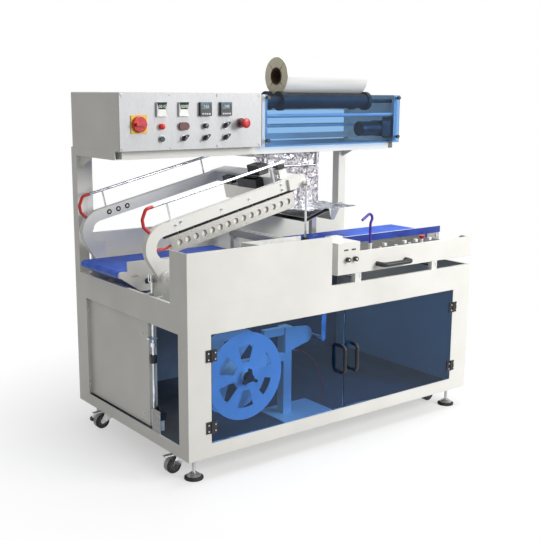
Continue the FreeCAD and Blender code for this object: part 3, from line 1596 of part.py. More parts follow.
def make_carriage_rails():
    """Two polished rails on end blocks: on the cabinet's rim in front, on a cross bar behind."""
    half = S.block_width / 2
    rear_block = S.rail_length - rail_end_gap
    under_rim = S.cabinet_height - S.wall
    rails = []
    for x in (S.left_rail_x, S.right_rail_x):
        rails.append(bar("y", (x, 4, S.rail_z), S.slide_radius, S.rail_length))
        for y, seat in ((size_of(2), S.cabinet_height), (rear_block, under_rim)):
            rails.append(
                cut(
                    box((x - half, x + half), (y, y + S.block_depth), (seat, S.rail_z + half)),
                    bar("y", (x, y - 1, S.rail_z), S.slide_radius, S.block_depth + 2),
                )
            )
    rails.append(
        box(
            (S.pivot_x + CROSS_KNIFE_X - S.bed_tube / 2, S.cabinet_length - S.wall),
            (rear_block, rear_block + S.block_depth), (S.bed_high, under_rim),
        )
    )
    node("carriage_rails", group(*rails))


def make_infeed_fittings():
    """Pull handle, guide rail, clamp posts, photo eye arm and clamp knobs of the carriage."""
    radius, reach = S.handle_radius, S.handle_reach
    z = (S.tray_low + S.tray_high) / 2 - handle_drop
    left, right = S.handle_left, S.handle_left + S.handle_span
    handle = feature_of(
        bent_tube([(left, 0, z), (left, -reach, z), (right, -reach, z), (right, 0, z)], radius, 2 * radius)
    )
    tray_top = S.tray_low + S.tray_sheet
    eye_post = bar("z", (S.tray_left + 117, post_y, tray_top), size_of(9), size_of(eye_high))
    posts = [
        bar("z", (S.tray_left + along, y, tray_top), size_of(thick), size_of(high))
        for along, y, high, thick in ((165, 44, 92, 7), (285, post_y, 88, 8), (375, post_y, 88, 8))
    ]
    capped = fuse(
        bar("z", (S.tray_left + 457, post_y, tray_top), size_of(8), size_of(100)),
        cone("z", (S.tray_left + 457, post_y, tray_top + 100), size_of(8), size_of(16), size_of(16)),
    )
    arm_x, arm_z = S.tray_left + 117, tray_top + eye_high
    arm = feature_of(
        bent_tube(
            [
                (arm_x, post_y, arm_z), (arm_x, post_y, arm_z + 91), (arm_x + 24, post_y, arm_z + 129),
                (arm_x - 10, post_y, arm_z + 133), (arm_x - 50, post_y + 2, arm_z + 107),
            ],
            6, [30, 20, 18],
        )
    )
    rail_y = S.in_front - 26
    rail = box((S.in_left + 60, S.in_right - 14), (rail_y, rail_y + 10), (S.in_top + 2, S.in_top + 34))
    plate_front = S.in_front - S.belt_gap - S.side_plate
    brackets = [
        box((x, x + 16), (rail_y + 2, plate_front), (S.in_top - 20, S.in_top + 12))
        for x in (S.in_left + 120, S.in_right - 120)
    ]
    knobs = []
    for x in (S.pod_left + 53, S.pod_left + 98):
        knob_z = S.pod_high - 74
        knobs.append(
            fuse(
                bar("y", (x, -16, knob_z), size_of(11), size_of(12)),
                bar("y", (x, -6, knob_z), size_of(5), size_of(6)),
            )
        )
    bearing = box(
        (S.pod_left + 2, S.pod_left + 70), (S.pod_depth - 60, S.pod_depth - 20),
        (S.pod_high, S.pod_high + 22),
    )
    node(
        "infeed_fittings",
        group(handle, eye_post, *posts, capped, arm, fuse(rail, *brackets), *knobs, bearing),
    )


# ---------------------------------------------------------------- doors
left_pull = 28
right_pull = 44


def make_doors():
    """Two tinted acrylic doors with black hinges and D pulls."""
    gap = S.door_gap
    low, high = S.door_low + gap, S.door_high - gap
    edges = (
        ("left", S.door_left + gap, S.door_split - gap / 2, S.door_left, 1, S.door_split - left_pull),
        ("right", S.door_split + gap / 2, S.door_right - gap, S.door_right, -1, S.door_split + right_pull),
    )
    leaves = []
    for side, left, right, hinge_x, away, pull_x in edges:
        body = body_called("door_sheet")
        pad(body, "y", 0, S.acrylic, rectangle((left, right), (low, high)))
        pieces = [body]
        half = S.pull_span / 2
        pull = feature_of(
            bent_tube(
                [
                    (pull_x, 0, S.pull_z - half), (pull_x, -S.pull_reach, S.pull_z - half),
                    (pull_x, -S.pull_reach, S.pull_z + half), (pull_x, 0, S.pull_z + half),
                ],
                S.pull_radius, 18,
            )
        )
        pieces.append(pull)
        pin = S.hinge_pin
        clear = pin + S.control_gap
        for z in (S.lower_hinge, S.upper_hinge):
            z_low, z_high = z - S.hinge_high / 2, z + S.hinge_high / 2
            if away == 1:
                moving = (hinge_x + clear, hinge_x + S.hinge_reach)
                fixed = (hinge_x - S.hinge_reach, hinge_x)
            else:
                moving = (hinge_x - S.hinge_reach, hinge_x - clear)
                fixed = (hinge_x, hinge_x + S.hinge_reach)
            pieces.append(box(moving, (-3, 0), (z_low, z_high)))
            leaf = fuse(
                box(fixed, (-3, 0), (z_low, z_high)),
                bar("z", (hinge_x, -pin, z_low), pin, S.hinge_high),
            )
            leaves.append(leaf)
        node(f"{side}_door", group(*pieces))
    node("door_hinges", group(*leaves))


# ---------------------------------------------------------------- scrap reel
def make_reel():
    """Winding reel: two windowed discs on a core, held by a three-lobed knob."""
    body = body_called("reel_discs")
    sheet_thick, width, radius = S.reel_sheet, S.reel_width, S.reel_radius
    bore = S.axle_radius + S.axle_gap
    far = sheet_thick + width
    revolved(
        body,
        [
            (-18, bore), (-18, S.reel_hub), (0, S.reel_hub), (0, radius), (sheet_thick, radius),
            (sheet_thick, S.reel_core), (far, S.reel_core), (far, radius), (far + sheet_thick, radius),
            (far + sheet_thick, bore),
        ],
    )
    doc.recompute()
    inner, outer = S.window_in, S.window_out
    spread = 17
    window = pocket(
        body, "y", -1, far + sheet_thick + 2,
        [
            Arc(0, 0, outer, 90 - spread, 90 + spread),
            Arc(0, 0, inner, 90 + spread, 90 - spread),
        ],
    )
    repeat_round(body, window, "Y_Axis", S.window_count)
    at = shifted(MACHINE, S.reel_x, S.reel_y, S.reel_z)
    # the knob that clamps the reel on its axle
    knob = body_called("reel_knob")
    revolved(knob, [(-40, 0), (-40, 16), (-18, 16), (-18, 0)])
    doc.recompute()
    lobe = pad(
        knob, "y", -38, 14,
        [(-7, 0), (7, 0), Arc(0, 34, 7, 0, 180)],
    )
    repeat_round(knob, lobe, "Y_Axis", 3)
    node("scrap_reel", group(body, knob), at)
    # stand: foot, post, arm and bearing with the axle
    far_face = S.reel_y + far + sheet_thick + 4
    x, z, y = S.stand_x, S.reel_z, S.stand_y
    half = S.stand_width / 2
    axle = bar("y", (S.reel_x, S.reel_y - 17, z), S.axle_radius, y - S.reel_y + 17 + 10)
    arm = box((S.reel_x - 26, x + S.stand_width), (y, y + 26), (z - 20, z + 20))
    post = box((x, x + S.stand_width), (y, y + S.stand_width), (S.wall, 420))
    foot = box((x - 60, x + 220), (y - 90, y + 110), (S.wall, S.wall + 6))
    top_arm = box((x - 110, x), (y, y + 26), (384, 420))
    plate = body_called("motor_plate")
    pad(
        plate, "y", y - 6, 6,
        [(x + 4, 300), (x + 120, 330), Arc(x + 120, 370, 40, -90, 90), (x + 4, 420)],
    )
    motor = bar("y", (x + 60, y, 350), size_of(30), size_of(90))
    stand = fuse(axle, arm, post, foot, top_arm, plate, motor)
    # dancer arm with its roller
    pivot_x, pivot_z = x + 186, 470
    dancer = body_called("dancer")
    pad(
        dancer, "y", y - 60, 6,
        [Arc(pivot_x, pivot_z - 120, 9, 180, 360), Arc(pivot_x, pivot_z, 14, 0, 180)],
        circles=[(pivot_x, pivot_z, 5.05)],
    )
    roller = bar("y", (pivot_x, y - 54, pivot_z - 120), size_of(11), size_of(120))
    node("dancer_arm", fuse(dancer, roller))
    pin = bar("y", (pivot_x, y - 70, pivot_z), size_of(5), size_of(76))
    bracket = fuse(
        pin,
        box((pivot_x - 12, pivot_x + 12), (y - 50, y - 30), (pivot_z - 12, S.cabinet_height - 60)),
        box(
            (pivot_x - 12, pivot_x + 12), (y - 50, S.cabinet_depth - S.wall),
            (S.cabinet_height - 84, S.cabinet_height - 60),
        ),
    )
    node("reel_stand", group(stand, bracket))


# ---------------------------------------------------------------- feet and casters
def levelling_feet():
    """Four levelling feet on threaded stems."""
    pieces = []
    inset = S.foot_inset
    for x in (inset, S.cabinet_length - inset):
        for y in (inset, S.cabinet_depth - inset):
            ground = -S.floor_gap
            pieces.append(
                fuse(
                    bar("z", (x, y, ground), S.foot_radius, size_of(8)),
                    cone("z", (x, y, ground + 8), S.foot_radius, size_of(14), size_of(18)),
                    bar("z", (x, y, ground + 20), S.foot_stem, S.floor_gap - 20),
                    bar("z", (x, y, -12), size_of(13), size_of(12)),
                )
            )
    return pieces


def caster_places():
    """Name, stem position of each caster."""
    left, right = S.caster_x, S.cabinet_length - 53
    return (
        ("front_left", left, S.front_caster_y),
        ("front_right", right, S.front_caster_y),
        ("rear_left", left, S.rear_caster_y),
        ("rear_right", right, S.rear_caster_y),
    )


def make_casters():
    """Swivel casters: fixed plate, fork with brake lever, and wheel."""
    plates = []
    axle_z = -S.floor_gap + S.wheel_lift + S.wheel_radius
    for name, x, y in caster_places():
        plates.append(
            fuse(
                box((x - 32, x + 32), (y - 28, y + 28), (-4, 0)),
                bar("z", (x, y, -16), size_of(6), size_of(13)),
            )
        )
        half = S.wheel_width / 2 + 1.5
        axle_x = x - S.wheel_trail
        fork = body_called("fork")
        pad(
            fork, "y", y - half - 3, 2 * half + 6,
            [
                Arc(axle_x, axle_z, 11, 150, 300), (x + 4, axle_z + 10), (x + 22, -24), (x + 22, -8),
                (x - 24, -8), (x - 30, -20),
            ],
        )
        pocket(
            fork, "y", y - half, 2 * half,
            [
                (axle_x - 60, axle_z - 50), (x + 40, axle_z - 50), (x + 40, axle_z + S.wheel_radius + 3),
                (axle_x - 60, axle_z + S.wheel_radius + 3),
            ],
        )
        stem_hole = bar("z", (x, y, -26), size_of(6.3), size_of(20))
        lever = box((axle_x - 44, x - 26), (y - 10, y + 10), (-22, -16))
        pin = bar("y", (axle_x, y - half - 4, axle_z), S.wheel_axle, 2 * half + 8)
        node(f"{name}_fork", fuse(cut(fork, stem_hole), lever, pin))
        bore = S.wheel_axle + S.wheel_gap
        rim = tube("y", (axle_x, y - S.wheel_width / 2, axle_z), S.wheel_radius, bore, S.wheel_width)
        node(f"{name}_wheel", rim)
    node("base_fittings", group(*levelling_feet(), *plates))


# ---------------------------------------------------------------- build, check and write
make_cabinet()
make_left_cover()
make_guards()
make_rear_frame()
make_control_box()
make_panel_fittings()
make_controls()
make_rack()
make_rack_cover()
make_roll()
make_web_and_former()
make_front_arm()
make_rear_arm()
make_cross_arm()
make_guard_rail()
make_knife_guard()
make_blade()
make_head_fittings()
make_hinge_brackets()
make_drive()
make_strut()
make_seal_bed()
make_discharge()
make_infeed()
make_carriage_rails()
make_infeed_fittings()
make_doors()
make_reel()
make_casters()
doc.recompute()

for piece in doc.Objects:
    if "Invalid" in piece.State or "Error" in piece.State:
        raise RuntimeError(f"{piece.Name} ({piece.Label}) failed: {piece.State}")

os.makedirs("parts", exist_ok=True)
for piece in NODES:
    shape = piece.Shape
    if shape.isNull() or not shape.isValid() or not shape.Solids:
        raise RuntimeError(f"{piece.Label} has no valid solid")
    shape.exportStep(f"parts/{piece.Label}.step")
print(len(NODES), "nodes written")
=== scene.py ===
import math
import bpy
from mathutils import Matrix, Vector, noise


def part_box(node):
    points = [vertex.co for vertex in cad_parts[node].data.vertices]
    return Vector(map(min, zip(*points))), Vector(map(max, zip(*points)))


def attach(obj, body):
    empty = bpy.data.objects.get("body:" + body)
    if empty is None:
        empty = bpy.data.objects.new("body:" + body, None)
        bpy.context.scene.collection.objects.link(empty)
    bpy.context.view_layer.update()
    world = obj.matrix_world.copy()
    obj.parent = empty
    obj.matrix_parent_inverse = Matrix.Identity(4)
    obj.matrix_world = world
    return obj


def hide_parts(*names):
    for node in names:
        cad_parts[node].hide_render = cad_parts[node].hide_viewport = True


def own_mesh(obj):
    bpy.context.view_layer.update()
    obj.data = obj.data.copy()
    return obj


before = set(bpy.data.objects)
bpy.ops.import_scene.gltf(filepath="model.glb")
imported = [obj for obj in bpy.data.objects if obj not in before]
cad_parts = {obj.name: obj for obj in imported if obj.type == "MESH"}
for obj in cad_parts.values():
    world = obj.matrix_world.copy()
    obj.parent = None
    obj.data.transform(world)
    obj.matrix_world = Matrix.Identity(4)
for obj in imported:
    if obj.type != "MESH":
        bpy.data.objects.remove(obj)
bpy.context.scene.view_settings.view_transform = "Standard"
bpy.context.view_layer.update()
bpy.ops.object.select_all(action="DESELECT")


# ------------------------------------------------------------------ studio
# The machine stands on a pale studio floor under soft lamps, seen from the
# front left corner at standing height.
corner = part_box("cabinet_body")[0]


def at(x, y, z):
    return corner + Vector((x, y, z)) / 1000


def pigment(red, green, blue):
    shades = []
    for level in (red, green, blue):
        part = level / 255
        shades.append(part / 12.92 if part <= 0.04045 else ((part + 0.055) / 1.055) ** 2.4)
    return (*shades, 1.0)


turn, dip, tilt = math.radians(37.505), math.radians(11.063), math.radians(0.350)
ahead = Vector((math.sin(turn) * math.cos(dip), math.cos(turn) * math.cos(dip), -math.sin(dip)))
level_right = Vector((math.cos(turn), -math.sin(turn), 0))
level_up = level_right.cross(ahead)
right = math.cos(tilt) * level_right + math.sin(tilt) * level_up
upward = -math.sin(tilt) * level_right + math.cos(tilt) * level_up
bpy.ops.object.camera_add()
camera = bpy.context.object
camera.name = "camera"
camera.data.lens = 60
camera.data.sensor_width = 36
camera.data.clip_end = 100
stand = Matrix.Translation((-2.611, -3.339, 1.552))
camera.matrix_world = stand @ Matrix((right, upward, -ahead)).transposed().to_4x4()
bpy.context.scene.camera = camera


def lamp(name, where, aim, power, width):
    bpy.ops.object.light_add(type="AREA", location=where)
    light = bpy.context.object
    light.name = name
    light.data.energy = power
    light.data.shape = "SQUARE"
    light.data.size = width
    light.rotation_euler = (Vector(aim) - Vector(where)).to_track_quat("-Z", "Y").to_euler()


lamp("key_lamp", (2.9, -4.6, 2.9), (0, 0, 0.7), 255, 2.2)
lamp("top_lamp", (0.6, -0.6, 4.8), (0, 0, 0.7), 110, 2.6)

world = bpy.data.worlds.new("studio")
bpy.context.scene.world = world
world.use_nodes = True
sky = world.node_tree
seen = sky.nodes.new("ShaderNodeLightPath")
either = sky.nodes.new("ShaderNodeMath")
either.operation = "MAXIMUM"
sky.links.new(seen.outputs["Is Camera Ray"], either.inputs[0])
sky.links.new(seen.outputs["Is Transmission Ray"], either.inputs[1])
gloss_ray = sky.nodes.new("ShaderNodeMath")
gloss_ray.operation = "MULTIPLY_ADD"
gloss_ray.inputs[1].default_value = 0.75
sky.links.new(seen.outputs["Is Glossy Ray"], gloss_ray.inputs[0])
sky.links.new(either.outputs[0], gloss_ray.inputs[2])
share = sky.nodes.new("ShaderNodeMath")
share.operation = "MINIMUM"
share.inputs[1].default_value = 1.0
sky.links.new(gloss_ray.outputs[0], share.inputs[0])
plain = sky.nodes["Background"]
plain.inputs["Color"].default_value = (1.0, 1.0, 1.0, 1)
plain.inputs["Strength"].default_value = 0.38
white = sky.nodes.new("ShaderNodeBackground")
white.inputs["Color"].default_value = (1, 1, 1, 1)
white.inputs["Strength"].default_value = 1.0
blend = sky.nodes.new("ShaderNodeMixShader")
sky.links.new(share.outputs[0], blend.inputs[0])
sky.links.new(plain.outputs[0], blend.inputs[1])
sky.links.new(white.outputs[0], blend.inputs[2])
sky.links.new(blend.outputs[0], sky.nodes["World Output"].inputs["Surface"])

bpy.ops.mesh.primitive_circle_add(vertices=64, radius=14, fill_type="NGON", location=(0, 0, 0))
floor = bpy.context.object
floor.name = "studio_floor"
floor_paint = bpy.data.materials.new("studio_floor_paint")
floor_paint.use_nodes = True
tree = floor_paint.node_tree
shader = tree.nodes["Principled BSDF"]
shader.inputs["Base Color"].default_value = (0.93, 0.93, 0.93, 1)
shader.inputs["Roughness"].default_value = 0.6
glow = tree.nodes.new("ShaderNodeEmission")
glow.inputs["Strength"].default_value = 1.0
place = tree.nodes.new("ShaderNodeTexCoord")
reach = tree.nodes.new("ShaderNodeVectorMath")
reach.operation = "LENGTH"
tree.links.new(place.outputs["Object"], reach.inputs[0])
fade = tree.nodes.new("ShaderNodeMapRange")
fade.inputs["From Min"].default_value = 0.7
fade.inputs["From Max"].default_value = 1.7
fade.inputs["To Min"].default_value = 0.45
tree.links.new(reach.outputs["Value"], fade.inputs["Value"])
path = tree.nodes.new("ShaderNodeLightPath")
direct = tree.nodes.new("ShaderNodeMath")
direct.operation = "MAXIMUM"
tree.links.new(path.outputs["Is Camera Ray"], direct.inputs[0])
tree.links.new(path.outputs["Is Glossy Ray"], direct.inputs[1])
through = tree.nodes.new("ShaderNodeMath")
through.operation = "MAXIMUM"
tree.links.new(direct.outputs[0], through.inputs[0])
tree.links.new(path.outputs["Is Transmission Ray"], through.inputs[1])
amount = tree.nodes.new("ShaderNodeMath")
amount.operation = "MULTIPLY"
tree.links.new(fade.outputs["Result"], amount.inputs[0])
tree.links.new(through.outputs[0], amount.inputs[1])
dull = tree.nodes.new("ShaderNodeBsdfDiffuse")
dull.inputs["Color"].default_value = (0.36, 0.355, 0.34, 1)
bounce = tree.nodes.new("ShaderNodeMixShader")
tree.links.new(through.outputs[0], bounce.inputs[0])
tree.links.new(dull.outputs[0], bounce.inputs[1])
tree.links.new(shader.outputs[0], bounce.inputs[2])
mix = tree.nodes.new("ShaderNodeMixShader")
tree.links.new(amount.outputs[0], mix.inputs[0])
tree.links.new(bounce.outputs[0], mix.inputs[1])
tree.links.new(glow.outputs[0], mix.inputs[2])
tree.links.new(mix.outputs[0], tree.nodes["Material Output"].inputs["Surface"])
floor.data.materials.append(floor_paint)


# ------------------------------------------------------------------ cabinet
# Folded sheet steel cabinet in fine-textured cream powder coat, welded at the
# corners.
def finish(name, colour, rough, metal=0.0):
    made = bpy.data.materials.new(name)
    made.use_nodes = True
    shader = made.node_tree.nodes["Principled BSDF"]
    shader.inputs["Base Color"].default_value = pigment(*colour)
    shader.inputs["Roughness"].default_value = rough
    shader.inputs["Metallic"].default_value = metal
    return made


def speckle(made, size, stretch=(1, 1, 1), detail=4.0):
    tree = made.node_tree
    where = tree.nodes.new("ShaderNodeTexCoord")
    shape = tree.nodes.new("ShaderNodeMapping")
    shape.inputs["Scale"].default_value = stretch
    noise = tree.nodes.new("ShaderNodeTexNoise")
    noise.inputs["Scale"].default_value = 1000 / size
    noise.inputs["Detail"].default_value = detail
    tree.links.new(where.outputs["Object"], shape.inputs["Vector"])
    tree.links.new(shape.outputs["Vector"], noise.inputs["Vector"])
    return noise.outputs["Fac"]


def shade(made, source, dark, pale, low=0.35, high=0.65):
    tree = made.node_tree
    ramp = tree.nodes.new("ShaderNodeValToRGB")
    ramp.color_ramp.elements[0].position = low
    ramp.color_ramp.elements[0].color = pigment(*dark)
    ramp.color_ramp.elements[1].position = high
    ramp.color_ramp.elements[1].color = pigment(*pale)
    tree.links.new(source, ramp.inputs["Fac"])
    tree.links.new(ramp.outputs["Color"], tree.nodes["Principled BSDF"].inputs["Base Color"])
    return ramp.outputs["Color"]


def sheen(made, source, least, most):
    tree = made.node_tree
    spread = tree.nodes.new("ShaderNodeMapRange")
    spread.inputs["From Min"].default_value = 0.3
    spread.inputs["From Max"].default_value = 0.7
    spread.inputs["To Min"].default_value = least
    spread.inputs["To Max"].default_value = most
    tree.links.new(source, spread.inputs["Value"])
    tree.links.new(spread.outputs["Result"], tree.nodes["Principled BSDF"].inputs["Roughness"])


def relief(made, source, height, soften=0.0):
    tree = made.node_tree
    bump = tree.nodes.new("ShaderNodeBump")
    bump.inputs["Strength"].default_value = 1.0
    bump.inputs["Distance"].default_value = height / 1000
    tree.links.new(source, bump.inputs["Height"])
    if soften:
        edge = tree.nodes.new("ShaderNodeBevel")
        edge.samples = 3
        edge.inputs["Radius"].default_value = soften / 1000
        tree.links.new(edge.outputs["Normal"], bump.inputs["Normal"])
    tree.links.new(bump.outputs["Normal"], tree.nodes["Principled BSDF"].inputs["Normal"])


def mottled(name, dark, pale, rough, metal=0.0, cloud=60, grain=1.2, depth=0.02, soften=0.6):
    """A finish whose colour, gloss and surface all vary a little over the piece."""
    made = finish(name, pale, rough, metal)
    shade(made, speckle(made, cloud), dark, pale)
    sheen(made, speckle(made, cloud * 0.6), rough * 0.85, rough * 1.15)
    relief(made, speckle(made, grain, detail=2), depth, soften)
    return made


def coat(made, *names):
    for name in names:
        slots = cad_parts[name].data.materials
        slots.clear()
        slots.append(made)


lean = math.radians(13)
pivot = at(72, 0, 705)


def into_head(point):
    """A point in the seal head's own directions: along the arms, across, and up from them."""
    away = point - pivot
    return Vector((
        away.x * math.cos(lean) + away.z * math.sin(lean), away.y,
        -away.x * math.sin(lean) + away.z * math.cos(lean),
    ))


def patch(node, made, low, high, facing=None, leaning=False):
    """Give the faces whose centres lie between two corners, in millimetres, a finish of their own."""
    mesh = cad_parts[node].data
    mesh.materials.append(made)
    index = len(mesh.materials) - 1
    for face in mesh.polygons:
        spot = into_head(face.center) if leaning else face.center
        inside = all(low[i] <= spot[i] * 1000 <= high[i] for i in range(3))
        if inside and (facing is None or face.normal.dot(Vector(facing)) > 0.7):
            face.material_index = index


cream = mottled("cream_powder_coat", (226, 225, 219), (236, 235, 230), 0.42, 0, 320, 1.6, 0.05, 1.4)
# Painted shade: a bluish grey, and a darker grey for the inner floor, stand in for the shade inside the
# cream cabinet.
painted_inner_shade = mottled("inner_shade_painted_grey", (104, 110, 122), (124, 130, 142), 0.55, 0, 200, 1.6, 0.05, 1.0)
painted_floor_shade = mottled("floor_shade_painted_dark", (64, 67, 72), (82, 85, 90), 0.55, 0, 200, 1.6, 0.05, 1.0)
coat(cream, "cabinet_body", "guard_panel", "rear_wall", "rear_frame")
# Painted shade: the inner back wall, the underside of the deck and the inner floor take these darker greys
# in place of the cream coat.
patch("cabinet_body", painted_inner_shade, (-790, 440, 110), (830, 516, 690), (0, -1, 0))
patch("cabinet_body", painted_inner_shade, (-760, -450, 600), (830, 500, 728), (0, 0, -1))
patch("cabinet_body", painted_floor_shade, (-760, -450, 100), (835, 500, 160), (0, 0, 1))


# ------------------------------------------------------------------ left service cover
# Flanged sheet steel door over the service bay on the discharge side, in the
# same powder coat, hung flush and held by two quarter turn screws.
coat(cream, "left_cover")
black = mottled("black_plastic", (20, 20, 23), (38, 38, 42), 0.4, 0, 60, 0.8, 0.03, 0.5)
polish = mottled("polished_steel", (196, 197, 200), (232, 233, 235), 0.16, 1.0, 40, 6, 0.01, 0.5)
zinc = mottled("zinc_plated_steel", (172, 173, 176), (208, 209, 212), 0.3, 0.85, 18, 2, 0.02, 0.4)


def alone(piece):
    bpy.ops.object.select_all(action="DESELECT")
    piece.select_set(True)
    bpy.context.view_layer.objects.active = piece


def soften_edges(piece, width, segments=2):
    alone(piece)
    edge = piece.modifiers.new("edge", "BEVEL")
    edge.width = width / 1000
    edge.segments = segments
    edge.limit_method = "ANGLE"
    bpy.ops.object.modifier_apply(modifier="edge")


def block(low, high, made, edge=0.8):
    """A bar or box between two corners, in millimetres, with its edges rounded."""
    bpy.ops.object.select_all(action="DESELECT")
    bpy.ops.mesh.primitive_cube_add(size=1, location=[(a + b) / 2000 for a, b in zip(low, high)])
    piece = bpy.context.object
    piece.scale = [(b - a) / 1000 for a, b in zip(low, high)]
    bpy.ops.object.transform_apply(location=True, rotation=True, scale=True)
    soften_edges(piece, edge)
    piece.data.materials.append(made)
    return piece


def rod(start, end, radius, made, edge=0.5, sides=28):
    """A round bar from one point to another, in millimetres, with its ends chamfered."""
    start, end = Vector(start) / 1000, Vector(end) / 1000
    along = end - start
    bpy.ops.object.select_all(action="DESELECT")
    bpy.ops.mesh.primitive_cylinder_add(
        vertices=sides, radius=radius / 1000, depth=along.length, location=(start + end) / 2,
        rotation=along.to_track_quat("Z", "Y").to_euler(),
    )
    piece = bpy.context.object
    bpy.ops.object.transform_apply(location=True, rotation=True, scale=True)
    soften_edges(piece, edge)
    bpy.ops.object.shade_smooth_by_angle(angle=math.radians(40))
    piece.data.materials.append(made)
    return piece


def choose(piece, test):
    """Select the faces that pass a test, and go into edit mode on them."""
    alone(piece)
    bpy.ops.object.mode_set(mode="EDIT")
    bpy.context.tool_settings.mesh_select_mode = (False, False, True)
    bpy.ops.mesh.select_all(action="DESELECT")
    bpy.ops.object.mode_set(mode="OBJECT")
    for face in piece.data.polygons:
        face.select = bool(test(face))
    bpy.ops.object.mode_set(mode="EDIT")


def dish(piece, way, inset, depth):
    """Inset the end face that looks one way, and push it in or out."""
    way = Vector(way)
    flat = [f for f in piece.data.polygons if f.normal.dot(way) > 0.95]
    largest = max(flat, key=lambda f: f.area).index
    choose(piece, lambda face: face.index == largest)
    bpy.ops.mesh.inset(thickness=inset / 1000, depth=0)
    bpy.ops.mesh.extrude_region_move(TRANSFORM_OT_translate={"value": way * (-depth / 1000)})
    bpy.ops.object.mode_set(mode="OBJECT")


def fit(piece, name, body):
    """Name a finished piece and fix it to the part that carries it."""
    piece.name = name
    piece.data.name = name
    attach(piece, body)
    return piece


def together(pieces):
    alone(pieces[0])
    for piece in pieces:
        piece.select_set(True)
    if len(pieces) > 1:
        bpy.ops.object.join()
    return bpy.context.view_layer.objects.active


def screw(radius=3.2, height=2.2, made=None):
    """A socket head screw standing on the origin and looking up."""
    piece = rod((0, 0, 0), (0, 0, height), radius, made or zinc, edge=0.35, sides=20)
    dish(piece, (0, 0, 1), radius * 0.42, height * 0.6)
    return piece


def scatter(master, places, way):
    """Copies of a fastener, each with a mesh of its own, looking one way."""
    turned = Vector(way).to_track_quat("Z", "Y").to_matrix().to_4x4()
    copies = []
    for spot in places:
        copy = bpy.data.objects.new(master.name, master.data.copy())
        bpy.context.collection.objects.link(copy)
        copy.data.transform(Matrix.Translation(Vector(spot) / 1000) @ turned)
        copies.append(copy)
    bpy.data.objects.remove(master)
    return together(copies)


cover_spots = [(-801, y, z) for y in (-103, 402) for z in (205, 560)]
fit(scatter(screw(5, 3), cover_spots, (-1, 0, 0)), "cover_screws", "machine")


# ------------------------------------------------------------------ overhead control box
# Folded sheet box with a brushed stainless face screwed on at six points.
def brushed(name, dark, pale, rough, along, metal=0.9):
    stretch = [1, 1, 1]
    for axis in range(3):
        stretch[axis] = 1 if axis == along else 40
    made = finish(name, pale, rough, metal)
    shade(made, speckle(made, 22, stretch), dark, pale, 0.3, 0.7)
    sheen(made, speckle(made, 60, stretch), rough * 0.8, rough * 1.2)
    relief(made, speckle(made, 14, stretch, detail=2), 0.015, 0.7)
    return made


face_steel = brushed("brushed_panel_face", (172, 173, 175), (200, 201, 202), 0.5, 2, 0.2)
coat(cream, "control_box")
coat(face_steel, "control_panel")
box_low, box_high = (p * 1000 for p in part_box("control_panel"))
edge_in = 9
third = (box_high.x - box_low.x) / 3
columns = (box_low.x + edge_in, box_low.x + third, box_low.x + third * 2, box_high.x - edge_in)
panel_spots = [(x, box_low.y, z) for x in columns for z in (box_low.z + edge_in, box_high.z - edge_in)]
fit(scatter(screw(3.4, 2), panel_spots, (0, -1, 0)), "panel_screws", "machine")


# ------------------------------------------------------------------ displays, plates and bezels
# Bought-in counters and temperature controllers set in the panel, a yellow
# isolator plate, the stop's collar and a silver bezel round each control.
counter_case = mottled("counter_case", (186, 189, 192), (206, 209, 211), 0.45, 0, 30, 0.6, 0.02, 0.4)
dark_glass = mottled("dark_display", (18, 24, 26), (34, 42, 44), 0.12, 0, 20, 4, 0.004, 0.2)
blue_glass = mottled("controller_display", (88, 104, 122), (122, 138, 154), 0.14, 0, 20, 4, 0.004, 0.2)
yellow = mottled("yellow_plate", (214, 172, 22), (232, 190, 34), 0.4, 0, 24, 0.8, 0.02, 0.4)
red = mottled("red_plastic", (176, 22, 26), (204, 34, 36), 0.3, 0, 40, 1.5, 0.01, 0.5)
maroon = mottled("maroon_plastic", (74, 24, 28), (98, 34, 38), 0.35, 0, 20, 1, 0.02, 0.4)
lamp_red = finish("red_lamp_lens", (232, 40, 34), 0.2)
shade(lamp_red, speckle(lamp_red, 5), (206, 24, 22), (246, 74, 60))
white = mottled("white_plastic", (222, 222, 219), (240, 240, 238), 0.4, 0, 40, 1, 0.02, 0.5)
teal = mottled("dark_teal_plastic", (22, 42, 44), (32, 58, 60), 0.3, 0, 12, 1, 0.01, 0.3)
coat(zinc, "panel_fittings")
counter_lefts = (-628, -517)
controller_lefts = (-410, -301)
for left in counter_lefts:
    patch("panel_fittings", counter_case, (left - 1, 0, 1454), (left + 51, 52, 1516))
    patch("panel_fittings", dark_glass, (left + 5, 0, 1484), (left + 45, 49, 1513), (0, -1, 0))
    patch("panel_fittings", white, (left + 3, 0, 1457), (left + 47, 49, 1482), (0, -1, 0))
for left in controller_lefts:
    patch("panel_fittings", black, (left - 1, 0, 1454), (left + 61, 52, 1516))
    patch("panel_fittings", blue_glass, (left + 5, 0, 1484), (left + 55, 49, 1513), (0, -1, 0))
patch("panel_fittings", lamp_red, (-617, 0, 1398), (-589, 47, 1426))
patch("panel_fittings", yellow, (-752, 0, 1384), (-674, 52, 1462))
patch("panel_fittings", maroon, (-211, 0, 1399), (-165, 44, 1445))
coat(red, "isolator_grip", "emergency_stop")
patch("emergency_stop", zinc, (-240, 5, 1380), (-140, 50, 1460))
coat(teal, "start_button")
coat(maroon, "film_rocker")
coat(black, "speed_dial", "seal_selector", "feed_selector", "belt_selector", "heat_selector")

keys = []
for left in controller_lefts:
    for step in range(4):
        key_left = left + 7 + step * 12
        keys.append(block((key_left, 34.4, 1461), (key_left + 9, 36.2, 1468), counter_case, 0.4))
fit(together(keys), "controller_keys", "machine")

